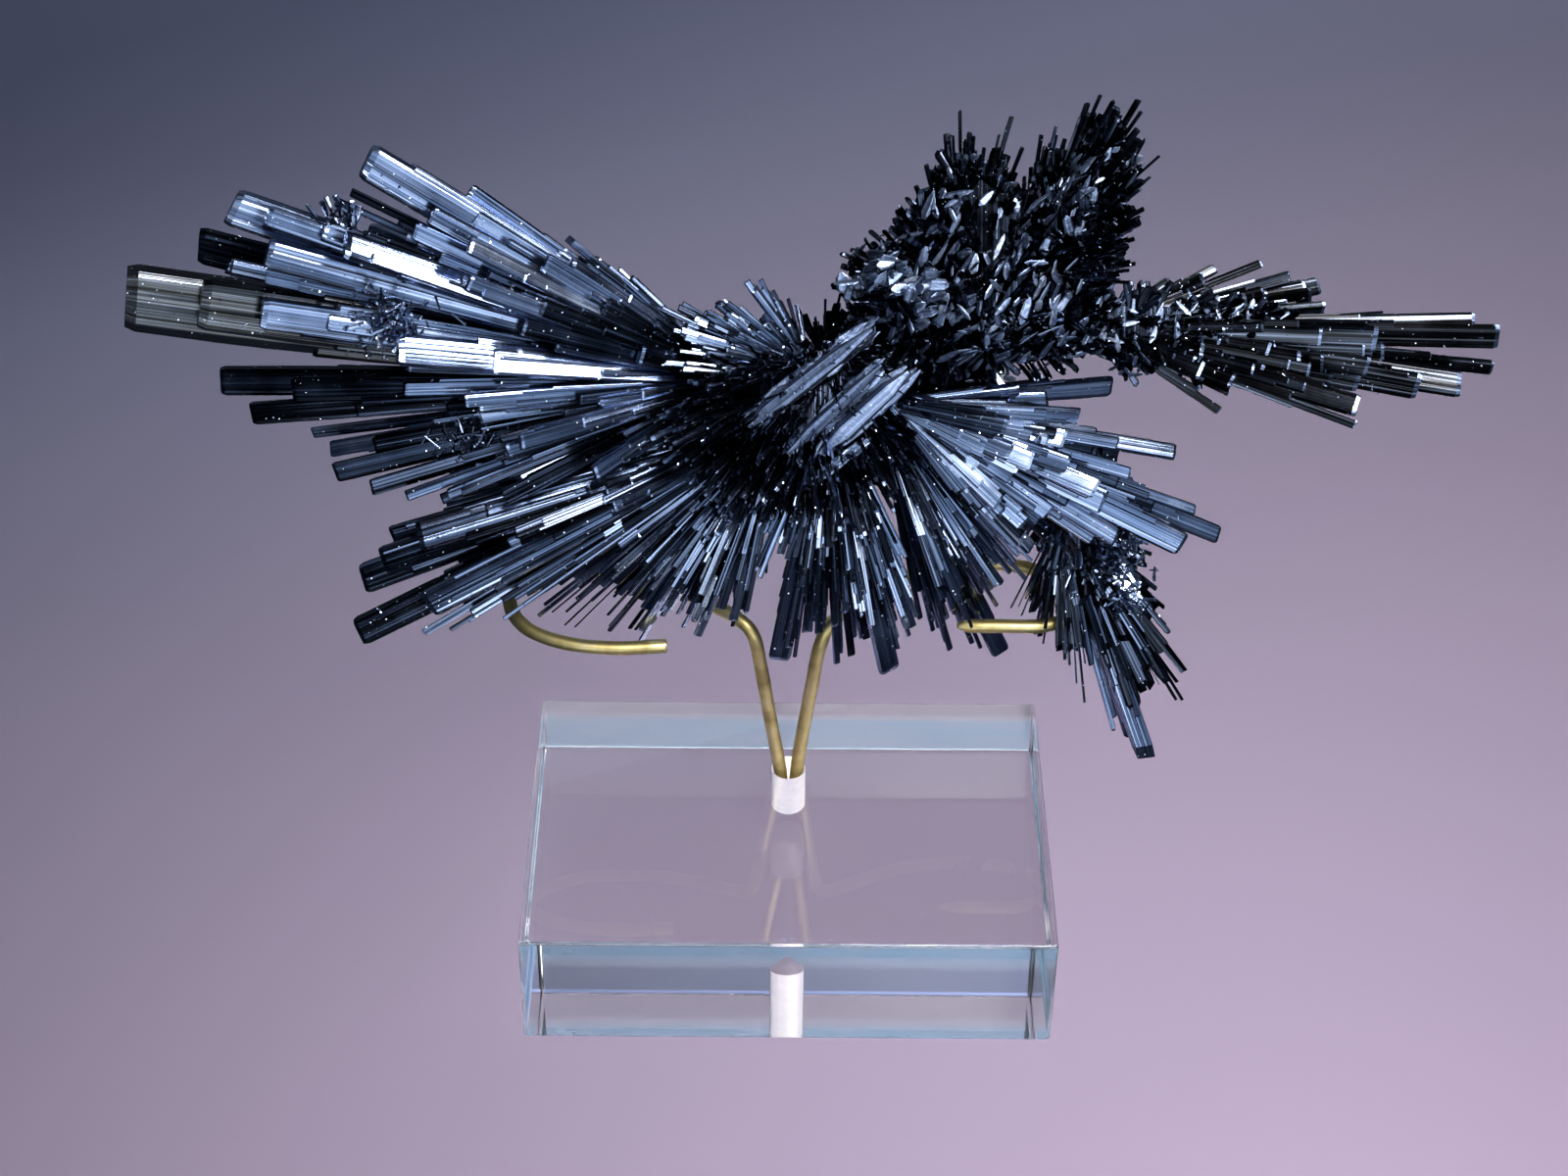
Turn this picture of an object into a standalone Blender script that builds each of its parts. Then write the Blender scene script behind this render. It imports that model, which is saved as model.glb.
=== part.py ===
"""A spray of stibnite crystals, held by two bent brass wires that stand in a clear acrylic block.

Sizes and places are in millimetres and become metres where a mesh is made. The origin is the
centre of the block's underside, +X runs to the right, +Y to the back and +Z up.
"""
import math
import random

import bmesh
import bpy
from mathutils import Vector

MM = 0.001

# ---------------------------------------------------------------- driving dimensions

BLOCK_WIDTH = 76.0
BLOCK_DEPTH = 52.0
BLOCK_HEIGHT = 19.5
BLOCK_EDGE_RADIUS = 0.9
BLOCK_EDGE_SEGMENTS = 3

HOLE_CENTRE_Y = 10.8
HOLE_RADIUS = 2.55
HOLE_SHOULDER_Z = 5.8
HOLE_TIP_Z = 3.2
HOLE_SIDES = 32

WIRE_RADIUS = 1.05
WIRE_FOOT_Z = 6.6
WIRE_SPACING = 2.4           # between the two wires' centre lines, inside the hole
WIRE_POINTS_PER_SPAN = 2
WIRE_BEVEL_RESOLUTION = 2
WIRE_POINT_SCALE = 0.35      # radius left at the end of the wire that is cut to a point

THICKNESS_RATIO = 0.55       # a crystal's thickness as a share of its width
ROOT_RATIO = 0.65            # a crystal's width at its root as a share of its full width
SHOULDER_IN_WIDTHS = 0.45    # length of the bevelled end, in crystal widths
END_RATIO = 0.62             # width of the end face as a share of the full width
END_SLANT = 0.30             # how far the end face leans, in crystal widths
NEEDLE_WIDTH = 2.6           # narrower crystals have four sides and a square end
ROLL_SPREAD = math.radians(24.0)
SEED = 5

# The wires' routes above the hole, chosen so that each loop holds the lower crystals between
# its back run and its front run.
LEFT_WIRE_ROUTE = [
    (-2.6, 10.8, 28.0), (-4.2, 10.8, 39.0), (-5.5, 11.0, 45.4), (-8.6, 12.8, 47.4), (-15.0, 16.0, 48.6),
    (-24.0, 18.4, 49.8), (-33.0, 18.6, 50.8), (-39.0, 15.6, 51.0), (-40.3, 11.6, 50.0), (-37.6, 7.6, 48.8),
    (-32.0, 5.2, 48.2), (-25.0, 4.4, 48.0), (-17.4, 5.0, 48.0),
]
RIGHT_WIRE_ROUTE = [
    (2.1, 10.8, 27.0), (3.3, 10.8, 36.0), (4.3, 10.8, 43.2), (6.2, 12.2, 46.8), (11.0, 16.0, 48.6),
    (19.0, 20.4, 49.6), (28.0, 22.0, 50.0), (36.0, 20.6, 49.8), (40.6, 16.6, 49.0), (40.4, 12.4, 48.2),
    (36.5, 10.2, 48.0), (30.0, 10.0, 48.0), (23.8, 10.0, 48.0),
]

# ---------------------------------------------------------------- the crystals
# Each spray has a focus, where its crystals' roots meet, and one line for each crystal:
# its tip (x, y, z) and its full width.

LEFT_FAN = ((-8, 8, 92), [
    (-85, -2, 111, 9.6), (-75, -5, 112, 7.4), (-67, -7, 112, 5.0),      # the longest blade, in three steps
    (-78, 12, 110, 6.4),                                                # the dark blade behind it
    (-71, 2, 122, 5.5), (-66, -2, 123, 3.7), (-59, -2, 121, 3.1), (-56, -5, 121, 4.4), (-66, -4, 119, 4.6),
    (-67, -2, 114, 2.5), (-59, 10, 118, 1.0), (-57, 9, 120, 1.2),
    (-54, 5, 127, 5.5), (-42, 9, 120, 3.1), (-36, 9, 114, 2.5),         # the highest blade and those behind it
    (-46, 2, 121, 3.1), (-48, 0, 120, 2.5), (-41, -2, 119, 2.7), (-41, -6, 116, 2.7), (-45, 0, 116, 2.5),
    (-32, 2, 114, 3.2), (-29, 4, 112, 3.8), (-29, 10, 112, 1.0),
    (-78, 14, 87, 4.7), (-68, 12, 87, 4.0), (-74, 12, 83, 3.5), (-66, 12, 80, 1.9),
    (-63, 8, 80, 2.7), (-62, 4, 79, 3.4), (-57, 2, 78, 2.6), (-52, 0, 78, 1.8), (-47, -2, 79, 1.8),
    (-50, -9, 108, 4.9), (-50, -6, 100, 2.2), (-42, -9, 100, 2.2), (-37, -10, 93, 2.8),
    (-45, -10, 86, 2.0), (-38, -8, 84, 2.8), (-35, -12, 96, 2.5), (-26, -8, 88, 3.1),
])
LOWER_FAN = ((-2, 7, 85), [
    (-50, -6, 76, 5.0), (-55, 4, 68, 4.0), (-56, 0, 67, 4.6), (-60, 6, 59, 5.2), (-50, -2, 61, 4.6),
    (-61, 4, 51, 5.3), (-51, 0, 54, 2.2), (-37, 9, 51, 1.4), (-34, 10, 49, 0.9), (-32, 10, 46, 0.8),
    (-27, 6, 57, 1.2), (-24, 7, 55, 1.9), (-25, 9, 47, 1.7), (-21, 8, 47, 2.5), (-16, 6, 51, 1.4),
    (-14, 2, 53, 2.9), (-9, 3, 54, 2.0), (-7, 3, 54, 2.2), (-24, -12, 85, 2.9), (-22, 0, 61, 1.6),
    (-16, 0, 63, 1.9), (-10, -8, 76, 1.5),
])
CENTRE_FAN = ((5, 7, 88), [
    (-5, -4, 68, 1.6), (-1.6, 3, 47.5, 3.6), (1, 4, 47.5, 1.6), (3, 4, 50.5, 1.8), (4.6, 4, 48.5, 2.5),
    (7, 0, 60, 1.6), (8.5, 4, 48.5, 2.0), (11, 3, 47.5, 2.4), (14, 2, 46.5, 4.2), (17.6, 6, 48.5, 2.4),
    (10, 0, 56, 1.9), (13, -5, 67, 1.9), (5, -8, 76, 1.8), (17, -3, 64, 1.6),
])
RIGHT_LOWER_FAN = ((11, 7, 89), [
    (21.6, 8, 46, 2.2), (24.7, 13, 42.4, 2.3), (27.6, 14, 41, 2.0), (31, 15, 39, 3.4), (24.6, 4, 52.7, 1.8),
    (30, 12, 50, 2.0), (33, 10, 56, 1.8), (33, 6, 62, 1.6), (23, -6, 72, 1.8), (20, -8, 76, 1.8),
])
RIGHT_FAN = ((13, 7, 90), [
    (51, 2, 85, 3.1), (45, 0, 83, 2.0), (55, 4, 74, 1.8), (59, 6, 68, 2.8), (53, 0, 71, 4.0),
    (41, -2, 74, 4.0), (38, 6, 66, 1.8), (35, 4, 69, 1.2), (32, -10, 93, 2.0), (24, -12, 96, 2.0),
    (37, -4, 95, 2.3), (43, 0, 88, 2.0), (21, -12, 92, 1.8), (27, -10, 87, 1.8), (30, -4, 76, 1.8),
])
TOP_CLUSTER = ((3, 10, 88), [
    (-19, 14, 98, 1.8), (-17, 14, 100, 1.8), (-14, 14, 101, 2.1), (-10, 12, 101, 1.8), (-6, 14, 103, 1.8),
    (-3.5, 15, 103, 1.4), (-3, 12, 101, 1.2), (-16, 8, 100, 1.8), (-9, 4, 100, 1.6), (1, 16, 98, 0.9),
    (5, 14, 100, 1.6), (8, 11, 99, 1.4),
])
RIGHT_ARM = ((40, 9, 100), [
    (93, 8, 100, 3.6), (90, 10, 101, 2.0), (76, 4, 102, 4.1), (94, 8, 95, 1.8), (88, 4, 95, 3.1),
    (82, 2, 96, 4.1), (75, 2, 99, 2.8), (73, -4, 97, 3.3), (74, 0, 91, 1.6), (57, 6, 89, 1.2),
    (66, 16, 104, 1.8), (62, 16, 106, 1.2), (56, 16, 105, 1.6), (52, 16, 103, 1.2), (60, 14, 99, 1.4),
    (67, 0, 100, 2.4), (61, 4, 104, 2.0), (69, -2, 98, 2.2),
])
DARK_CLUSTER = ((38, 13, 66), [
    (52, 2, 30, 3.6), (50, 4, 33, 2.6), (41.3, 2, 40.5, 1.2), (36, 15, 41, 0.9), (33.5, 15, 46, 0.9),
    (57, 8, 42, 1.8), (57, 8, 36.5, 1.6), (55.5, 8, 36, 1.6), (54, 14, 49, 1.8), (53.6, 14, 45, 1.2),
    (43, 6, 45, 2.4), (51, 10, 62, 1.4), (44, 5, 66, 2.7), (50, 5, 58, 2.6), (52, 8, 46, 2.2),
])
FANS = [LEFT_FAN, LOWER_FAN, CENTRE_FAN, RIGHT_LOWER_FAN, RIGHT_FAN, TOP_CLUSTER, RIGHT_ARM, DARK_CLUSTER]

# Slabs lying across the centre: low end, high end and width.
SLABS = [
    ((-6.5, -3, 92), (10, 1, 103.5), 2.8), ((-1, -6, 89.5), (14, -3, 103), 2.7),
    ((2.5, -6.5, 91), (14, -3, 101), 2.9), ((2.5, -8, 87), (12, -3, 95.5), 2.7),
]

# The solid bodies that the crystals grow out of, each a pillow with a sharp rim: its centre, the
# y of its front and of its back, and its rim as (x, z) points counterclockwise seen from the front.
MOUND = ((25, 10, 108), -1, 20, [
    (45, 100), (41, 106), (42, 112), (43, 119), (44, 126), (40, 129), (35, 123), (31, 118), (26, 121),
    (21, 125), (17, 119), (13, 113), (6, 110), (8, 104), (5, 96), (18, 90), (36, 94),
])
ARM_BODY = ((48, 9, 100), 4, 14, [(70, 99), (64, 103), (52, 104), (38, 104), (34, 98), (44, 93), (60, 95)])
DARK_BODY = ((40, 11, 66), 4, 18, [(47, 70), (40, 82), (22, 92), (26, 76), (34, 64), (43, 54), (46.5, 44), (50, 54)])
SADDLE = ((8, 3, 92), -7, 14, [(24, 96), (14, 104), (2, 102), (-8, 96), (-12, 88), (-2, 80), (12, 79), (24, 84)])
BODIES = [MOUND, ARM_BODY, DARK_BODY, SADDLE]

# The two peaks of the mound: spikes, given as the sprays are.
LEFT_PEAK = ((22, 11, 104), [
    (4.6, 4, 109, 1.8), (6.6, 4, 113, 2.0), (10.7, 6, 113, 2.0), (12, 8, 114, 1.7), (14, 10, 116, 1.7),
    (15, 12, 117, 1.8), (16, 12, 120, 2.0), (17.4, 12, 123.5, 2.0), (18.7, 14, 126, 2.0), (20.8, 14, 129, 1.6),
    (23, 12, 128, 1.6), (27, 14, 129, 1.2), (26, 12, 126, 1.6), (28.5, 16, 123.5, 1.7),
])
RIGHT_PEAK = ((30, 12, 106), [
    (32.5, 18, 124, 1.8), (33.7, 18, 125.5, 1.4), (38, 14, 131.5, 2.2), (41.5, 12, 133.5, 2.4),
    (42.5, 9, 133, 2.0), (43.4, 8, 130.3, 2.0), (46, 8, 127, 1.4), (44, 5, 124, 1.8), (44.6, 4, 120.3, 1.4),
    (40.4, 2, 120.2, 1.6), (43, 6, 116, 1.4), (43.6, 6, 112.5, 1.4), (40.4, 0, 115, 1.4), (43, 4, 110.5, 1.4),
])
PEAKS = [LEFT_PEAK, RIGHT_PEAK]

BACK_LAYERS = [(LEFT_FAN, 17.0), (LOWER_FAN, 15.0), (CENTRE_FAN, 14.0), (RIGHT_FAN, 15.0), (RIGHT_ARM, 7.0)]
BACK_REACH = 0.8             # how far a back crystal reaches, as a share of the front one it follows
BACK_DROOP = 14.0            # how much lower the back of a rising crystal ends
BACK_MIN_WIDTH = 3.1         # only crystals at least this wide have a partner at the back

WEB_REACH = 0.55             # how far the solid web between a fan's crystals goes out from its focus
WEB_HALF_DEPTH = 6.0         # the web's half thickness at the focus
RIM_HALF_DEPTH = 1.0         # half thickness of a web's or a body's rim
WEB_BACK_REACH = 6.0         # how far a web goes on behind its focus
RIM_GROUP = 5                # crystals that share one point of a web's rim

STUB_BODIES = [(MOUND, 36), (ARM_BODY, 8)]     # bodies with short crystals on them
STUB_LENGTH = (3.5, 7.0)
STUB_WIDTH = (1.5, 2.6)
STUB_RISE = 0.5              # how strongly the stubs turn upwards


def catmull_rom(points, per_span):
    """A smooth open curve through the points, per_span samples for each span."""
    padded = [points[0]] + list(points) + [points[-1]]
    curve = []
    for before, start, end, after in zip(padded, padded[1:], padded[2:], padded[3:]):
        for step in range(per_span):
            t = step / per_span
            curve.append(0.5 * (2.0 * start + (end - before) * t
                                + (2.0 * before - 5.0 * start + 4.0 * end - after) * t ** 2
                                + (3.0 * start - before - 3.0 * end + after) * t ** 3))
    curve.append(points[-1])
    return curve


def wire_route(side, above):
    """All the points of a wire: its straight foot in the hole, then its route above the block."""
    x = side * WIRE_SPACING / 2.0
    foot = [(x, HOLE_CENTRE_Y, z) for z in (WIRE_FOOT_Z, 13.0, BLOCK_HEIGHT - 1.0)]
    return catmull_rom([Vector(point) for point in foot + above], WIRE_POINTS_PER_SPAN)


def crystal_profile(sides):
    """The cross-section as shares of width and thickness: a rhombus or a flattened hexagon."""
    if sides == 4:
        return [(0.5, 0.0), (0.0, 0.5), (-0.5, 0.0), (0.0, -0.5)]
    return [(0.5, 0.0), (0.27, 0.5), (-0.27, 0.5), (-0.5, 0.0), (-0.27, -0.5), (0.27, -0.5)]


def crystal_sections(length, width, slant):
    """Distance along the crystal, scale and lean of each cross-section, from root to end face."""
    if width < NEEDLE_WIDTH:
        return [(0.0, ROOT_RATIO, 0.0), (length, 1.0, slant)]
    shoulder = max(length - SHOULDER_IN_WIDTHS * width, 0.5 * length)
    return [(0.0, ROOT_RATIO, 0.0), (shoulder, 1.0, 0.0), (length, END_RATIO, slant)]


def add_crystal(mesh, root, tip, width, dice):
    """Add one closed crystal that widens from its root to a slanting end."""
    along = tip - root
    length = along.length
    along.normalize()
    across = along.cross(Vector((0.0, -1.0, 0.0)))
    if across.length < 0.2:
        across = along.cross(Vector((1.0, 0.0, 0.0)))
    across.normalize()
    face = across.cross(along)
    roll = dice.uniform(-ROLL_SPREAD, ROLL_SPREAD)
    across, face = (across * math.cos(roll) + face * math.sin(roll),
                    face * math.cos(roll) - across * math.sin(roll))
    slant = dice.choice((-1.0, 1.0)) * END_SLANT
    profile = crystal_profile(4 if width < NEEDLE_WIDTH else 6)
    rings = []
    for distance, scale, lean in crystal_sections(length, width, slant):
        ring = []
        for u, v in profile:
            side = across * (u * width * scale) + face * (v * width * scale * THICKNESS_RATIO)
            setback = (abs(lean) - 2.0 * lean * u) * width
            ring.append(mesh.verts.new((root + along * (distance - setback) + side) * MM))
        rings.append(ring)
    for lower, upper in zip(rings, rings[1:]):
        for i in range(len(profile)):
            j = (i + 1) % len(profile)
            mesh.faces.new((lower[j], lower[i], upper[i], upper[j]))
    mesh.faces.new(rings[0])
    mesh.faces.new(list(reversed(rings[-1])))


def add_pillow(mesh, centre, front, back, rim):
    """Add a closed body that is deepest at its centre and thin at its rim of (x, y, z) points."""
    front_tip = mesh.verts.new(Vector((centre[0], front, centre[2])) * MM)
    back_tip = mesh.verts.new(Vector((centre[0], back, centre[2])) * MM)
    depth = Vector((0.0, RIM_HALF_DEPTH, 0.0))
    near = [mesh.verts.new((Vector(point) - depth) * MM) for point in rim]
    far = [mesh.verts.new((Vector(point) + depth) * MM) for point in rim]
    for i in range(len(rim)):
        j = (i + 1) % len(rim)
        mesh.faces.new((front_tip, near[i], near[j]))
        mesh.faces.new((back_tip, far[j], far[i]))
        mesh.faces.new((near[j], near[i], far[i], far[j]))


def fan_rim(focus, crystals):
    """The rim of the web between a fan's crystals, in the order of their bearings."""
    centre = Vector(focus)
    reaches = [Vector(crystal[:3]) - centre for crystal in crystals]
    middle = sum((reach.normalized() for reach in reaches), Vector()).normalized()
    across = Vector((-middle.z, 0.0, middle.x))
    reaches.sort(key=lambda reach: math.atan2(reach.dot(across), reach.dot(middle)))
    rim = []
    for first in range(0, len(reaches) - RIM_GROUP + 1, RIM_GROUP - 1):
        group = reaches[first:first + RIM_GROUP]
        out = sum((reach.normalized() for reach in group), Vector()).normalized()
        rim.append(centre + out * min(reach.length for reach in group) * WEB_REACH)
    behind = middle * WEB_BACK_REACH
    rim.append(centre - behind + across * WEB_BACK_REACH)
    rim.append(centre - behind - across * WEB_BACK_REACH)
    return rim


def distance_to_wires(point, wires):
    """The distance from a point to the nearest point of the wires' centre lines."""
    return min((point - place).length for wire in wires for place in wire)


def clear_of_wires(root, tip, width, wires):
    """Pull a crystal's tip back along its axis until it clears the wires."""
    need = WIRE_RADIUS + 0.5 * width + 0.6
    reach = tip - root
    for step in range(60):
        share = step / 60.0
        if distance_to_wires(root + reach * (0.4 + 0.6 * share), wires) < need:
            return root + reach * (0.4 + 0.6 * max(share - 0.06, 0.0))
    return tip


# ---------------------------------------------------------------- the spray

def front_crystals(wires):
    """Root, tip and width of every crystal of the fans and the peaks."""
    for focus, crystals in FANS + PEAKS:
        root = Vector(focus)
        for x, y, z, width in crystals:
            yield root, clear_of_wires(root, Vector((x, y, z)), width, wires), width


def back_crystals(wires):
    """Root, tip and width of the crystals that lean to the back, one behind each wide front one."""
    for (focus, crystals), shift in BACK_LAYERS:
        root = Vector(focus)
        for x, y, z, width in crystals:
            if width < BACK_MIN_WIDTH:
                continue
            reach = Vector((x, y, z)) - root
            droop = BACK_DROOP * min(max((reach.z + 10.0) / 30.0, 0.0), 1.0)
            lean = Vector((BACK_REACH * reach.x, shift + 0.3 * abs(reach.y), BACK_REACH * reach.z - droop))
            yield root, clear_of_wires(root, root + lean, width, wires), width


def slab_crystals():
    """Root, tip and width of the slabs across the centre."""
    for low, high, width in SLABS:
        yield Vector(high), Vector(low), width


def body_stubs(dice):
    """Root, tip and width of the short crystals that stand out of the bodies, front and back."""
    golden_turn = math.pi * (3.0 - math.sqrt(5.0))
    for (centre, front, back, rim), count in STUB_BODIES:
        half_width = 0.5 * (max(x for x, _ in rim) - min(x for x, _ in rim))
        half_height = 0.5 * (max(z for _, z in rim) - min(z for _, z in rim))
        for number in range(count):
            out = math.sqrt((number + 0.5) / count)
            turn = number * golden_turn
            radial = Vector((math.cos(turn), 0.0, math.sin(turn)))
            near = number % 2 == 0
            depth = (front if near else back) - centre[1]
            foot = Vector(centre) + Vector((radial.x * half_width * out, 0.0, radial.z * half_height * out)) * 0.8
            foot.y += 0.5 * depth * (1.0 - out)
            facing = Vector((0.0, -1.0 if near else 1.0, 0.0)) * (1.2 - out)
            rise = (radial * out + facing + Vector((0.0, 0.0, STUB_RISE))).normalized()
            reach = 0.35 * abs(depth) + dice.uniform(*STUB_LENGTH)
            yield foot, foot + rise * reach, dice.uniform(*STUB_WIDTH)


def as_mesh(name, add, *arguments):
    """A mesh that holds what one add function makes."""
    build = bmesh.new()
    add(build, *arguments)
    mesh = bpy.data.meshes.new(name)
    build.to_mesh(mesh)
    build.free()
    return mesh


def union(first, second):
    """The union of two closed meshes. EXACT leaves open edges where many crystals cross."""
    pair = [bpy.data.objects.new("shell", mesh) for mesh in (first, second)]
    for shell in pair:
        bpy.context.scene.collection.objects.link(shell)
    joint = pair[0].modifiers.new("union", "BOOLEAN")
    joint.operation = "UNION"
    joint.solver = "MANIFOLD"
    joint.object = pair[1]
    evaluated = pair[0].evaluated_get(bpy.context.evaluated_depsgraph_get())
    joined = bpy.data.meshes.new_from_object(evaluated)
    for shell in pair:
        bpy.data.objects.remove(shell)
    for mesh in (first, second):
        bpy.data.meshes.remove(mesh)
    return joined


def unite(meshes):
    """Unite closed meshes two by two until one is left."""
    while len(meshes) > 1:
        joined = [union(first, second) for first, second in zip(meshes[0::2], meshes[1::2])]
        meshes = joined + meshes[2 * len(joined):]
    return meshes[0]


def largest_part(mesh):
    """Keep a mesh's largest connected part: a crystal that misses the rest is left out."""
    build = bmesh.new()
    build.from_mesh(mesh)
    unseen = set(build.verts)
    parts = []
    while unseen:
        part = []
        front = [unseen.pop()]
        while front:
            vertex = front.pop()
            part.append(vertex)
            for edge in vertex.link_edges:
                other = edge.other_vert(vertex)
                if other in unseen:
                    unseen.remove(other)
                    front.append(other)
        parts.append(part)
    parts.sort(key=len)
    loose = [vertex for part in parts[:-1] for vertex in part]
    bmesh.ops.delete(build, geom=loose, context="VERTS")
    build.to_mesh(mesh)
    build.free()
    return mesh


def make_spray(wires):
    """The specimen: all its crystals and the lumps that they grow out of, as one solid."""
    dice = random.Random(SEED)
    crystals = list(front_crystals(wires)) + list(back_crystals(wires)) + list(slab_crystals())
    crystals += list(body_stubs(dice))
    shells = [as_mesh("crystal", add_crystal, root, tip, width, dice) for root, tip, width in crystals]
    for focus, fan in FANS:
        front, back = focus[1] - WEB_HALF_DEPTH, focus[1] + WEB_HALF_DEPTH
        shells.append(as_mesh("web", add_pillow, focus, front, back, fan_rim(focus, fan)))
    for centre, front, back, outline in BODIES:
        rim = [(x, centre[1], z) for x, z in outline]
        shells.append(as_mesh("body", add_pillow, centre, front, back, rim))
    spray = bpy.data.objects.new("stibnite_spray", largest_part(unite(shells)))
    bpy.context.scene.collection.objects.link(spray)
    return spray


# ---------------------------------------------------------------- the wires

def make_wire(name, route, pointed):
    """A bent round wire along its route. A pointed wire ends in a pinched cut."""
    data = bpy.data.curves.new(name, "CURVE")
    data.dimensions = "3D"
    data.bevel_depth = WIRE_RADIUS * MM
    data.bevel_resolution = WIRE_BEVEL_RESOLUTION
    data.use_fill_caps = True
    spline = data.splines.new("POLY")
    spline.points.add(len(route) - 1)
    for point, place in zip(spline.points, route):
        point.co = (*(place * MM), 1.0)
    if pointed:
        spline.points[-1].radius = WIRE_POINT_SCALE
    spline.use_smooth = True
    wire = bpy.data.objects.new(name, data)
    bpy.context.scene.collection.objects.link(wire)
    return wire


# ---------------------------------------------------------------- the block

def add_box(mesh):
    """The block, its underside on the ground, with its edges rounded off."""
    made = bmesh.ops.create_cube(mesh, size=1.0)
    for vertex in made["verts"]:
        x, y, z = vertex.co
        vertex.co = Vector((x * BLOCK_WIDTH, y * BLOCK_DEPTH, (z + 0.5) * BLOCK_HEIGHT)) * MM
    bmesh.ops.bevel(mesh, geom=list(mesh.edges), offset=BLOCK_EDGE_RADIUS * MM, affect="EDGES",
                    segments=BLOCK_EDGE_SEGMENTS, profile=0.5)


def add_drill(mesh):
    """The drilled hole as a solid: a cylinder with a cone-shaped tip, up through the top face."""
    levels = [(HOLE_SHOULDER_Z, HOLE_RADIUS), (BLOCK_HEIGHT + 2.0, HOLE_RADIUS)]
    rings = []
    for z, radius in levels:
        ring = []
        for side in range(HOLE_SIDES):
            turn = 2.0 * math.pi * side / HOLE_SIDES
            place = Vector((radius * math.cos(turn), HOLE_CENTRE_Y + radius * math.sin(turn), z))
            ring.append(mesh.verts.new(place * MM))
        rings.append(ring)
    tip = mesh.verts.new(Vector((0.0, HOLE_CENTRE_Y, HOLE_TIP_Z)) * MM)
    low, high = rings
    for i in range(HOLE_SIDES):
        j = (i + 1) % HOLE_SIDES
        mesh.faces.new((low[i], low[j], high[j], high[i]))
        mesh.faces.new((low[j], low[i], tip))
    mesh.faces.new(high)


def make_block():
    """The clear base block with the blind hole that both wires stand in."""
    block = bpy.data.objects.new("acrylic_block", as_mesh("acrylic_block", add_box))
    drill = bpy.data.objects.new("drill", as_mesh("drill", add_drill))
    for made in (block, drill):
        bpy.context.scene.collection.objects.link(made)
    drill.hide_render = True
    drill.display_type = "WIRE"
    hole = block.modifiers.new("hole", "BOOLEAN")
    hole.operation = "DIFFERENCE"
    hole.object = drill
    return block


# ---------------------------------------------------------------- materials

def make_material(name, colour, metallic, roughness, transmission=0.0, ior=1.5):
    """A plain Principled material."""
    material = bpy.data.materials.new(name)
    material.use_nodes = True
    shader = material.node_tree.nodes["Principled BSDF"]
    shader.inputs["Base Color"].default_value = (*colour, 1.0)
    shader.inputs["Metallic"].default_value = metallic
    shader.inputs["Roughness"].default_value = roughness
    shader.inputs["Transmission Weight"].default_value = transmission
    shader.inputs["IOR"].default_value = ior
    return material


def main():
    """Build the four pieces of the mounted specimen."""
    for leftover in list(bpy.data.objects):
        bpy.data.objects.remove(leftover, do_unlink=True)
    routes = [wire_route(-1, LEFT_WIRE_ROUTE), wire_route(1, RIGHT_WIRE_ROUTE)]
    spray = make_spray(routes)
    spray.data.materials.clear()
    spray.data.materials.append(make_material("stibnite", (0.10, 0.12, 0.17), 0.9, 0.28))
    brass = make_material("brass", (0.62, 0.46, 0.16), 1.0, 0.35)
    for name, route, pointed in (("brass_wire_left", routes[0], False), ("brass_wire_right", routes[1], True)):
        make_wire(name, route, pointed).data.materials.append(brass)
    block = make_block()
    block.data.materials.append(make_material("clear_acrylic", (0.93, 0.95, 0.98), 0.0, 0.03, 1.0, 1.49))


main()
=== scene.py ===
"""The stibnite spray on its brass wires and clear acrylic block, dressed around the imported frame.

Places and sizes are in millimetres and become metres where a mesh is made.
"""
import math
from collections import namedtuple

import bmesh
import bpy
import numpy as np
from mathutils import Matrix, Vector


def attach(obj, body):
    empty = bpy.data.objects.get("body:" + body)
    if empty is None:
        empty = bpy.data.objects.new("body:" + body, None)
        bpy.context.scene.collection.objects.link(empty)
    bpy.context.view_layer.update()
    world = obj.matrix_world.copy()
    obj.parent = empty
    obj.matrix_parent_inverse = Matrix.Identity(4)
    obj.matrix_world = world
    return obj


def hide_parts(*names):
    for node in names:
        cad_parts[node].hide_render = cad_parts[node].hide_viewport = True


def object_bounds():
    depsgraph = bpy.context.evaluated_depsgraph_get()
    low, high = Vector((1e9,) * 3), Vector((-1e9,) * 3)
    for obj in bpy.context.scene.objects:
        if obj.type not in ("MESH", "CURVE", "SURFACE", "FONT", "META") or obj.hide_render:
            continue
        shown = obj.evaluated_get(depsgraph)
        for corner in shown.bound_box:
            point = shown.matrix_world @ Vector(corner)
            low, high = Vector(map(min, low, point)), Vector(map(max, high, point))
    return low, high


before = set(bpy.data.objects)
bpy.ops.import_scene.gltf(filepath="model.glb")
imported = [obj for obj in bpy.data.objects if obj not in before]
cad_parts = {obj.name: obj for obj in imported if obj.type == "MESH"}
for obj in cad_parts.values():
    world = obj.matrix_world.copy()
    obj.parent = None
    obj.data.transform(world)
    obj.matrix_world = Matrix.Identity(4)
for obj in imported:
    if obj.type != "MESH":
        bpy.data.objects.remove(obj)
cad_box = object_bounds()

MM = 0.001
CAD_LOW, CAD_HIGH = np.array(cad_box[0]) + 0.00001, np.array(cad_box[1]) - 0.00001
rng = np.random.default_rng(11)

# ---------------------------------------------------------------- the real object's named sizes

BLOCK_SIZE = (76.0, 52.0, 19.5)
BLOCK_EDGE_RADIUS = 0.6
HOLE_CENTRE_Y = 10.8
HOLE_RADIUS = 2.55
HOLE_SHOULDER_Z = 5.8
HOLE_TIP_Z = 3.2

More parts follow.
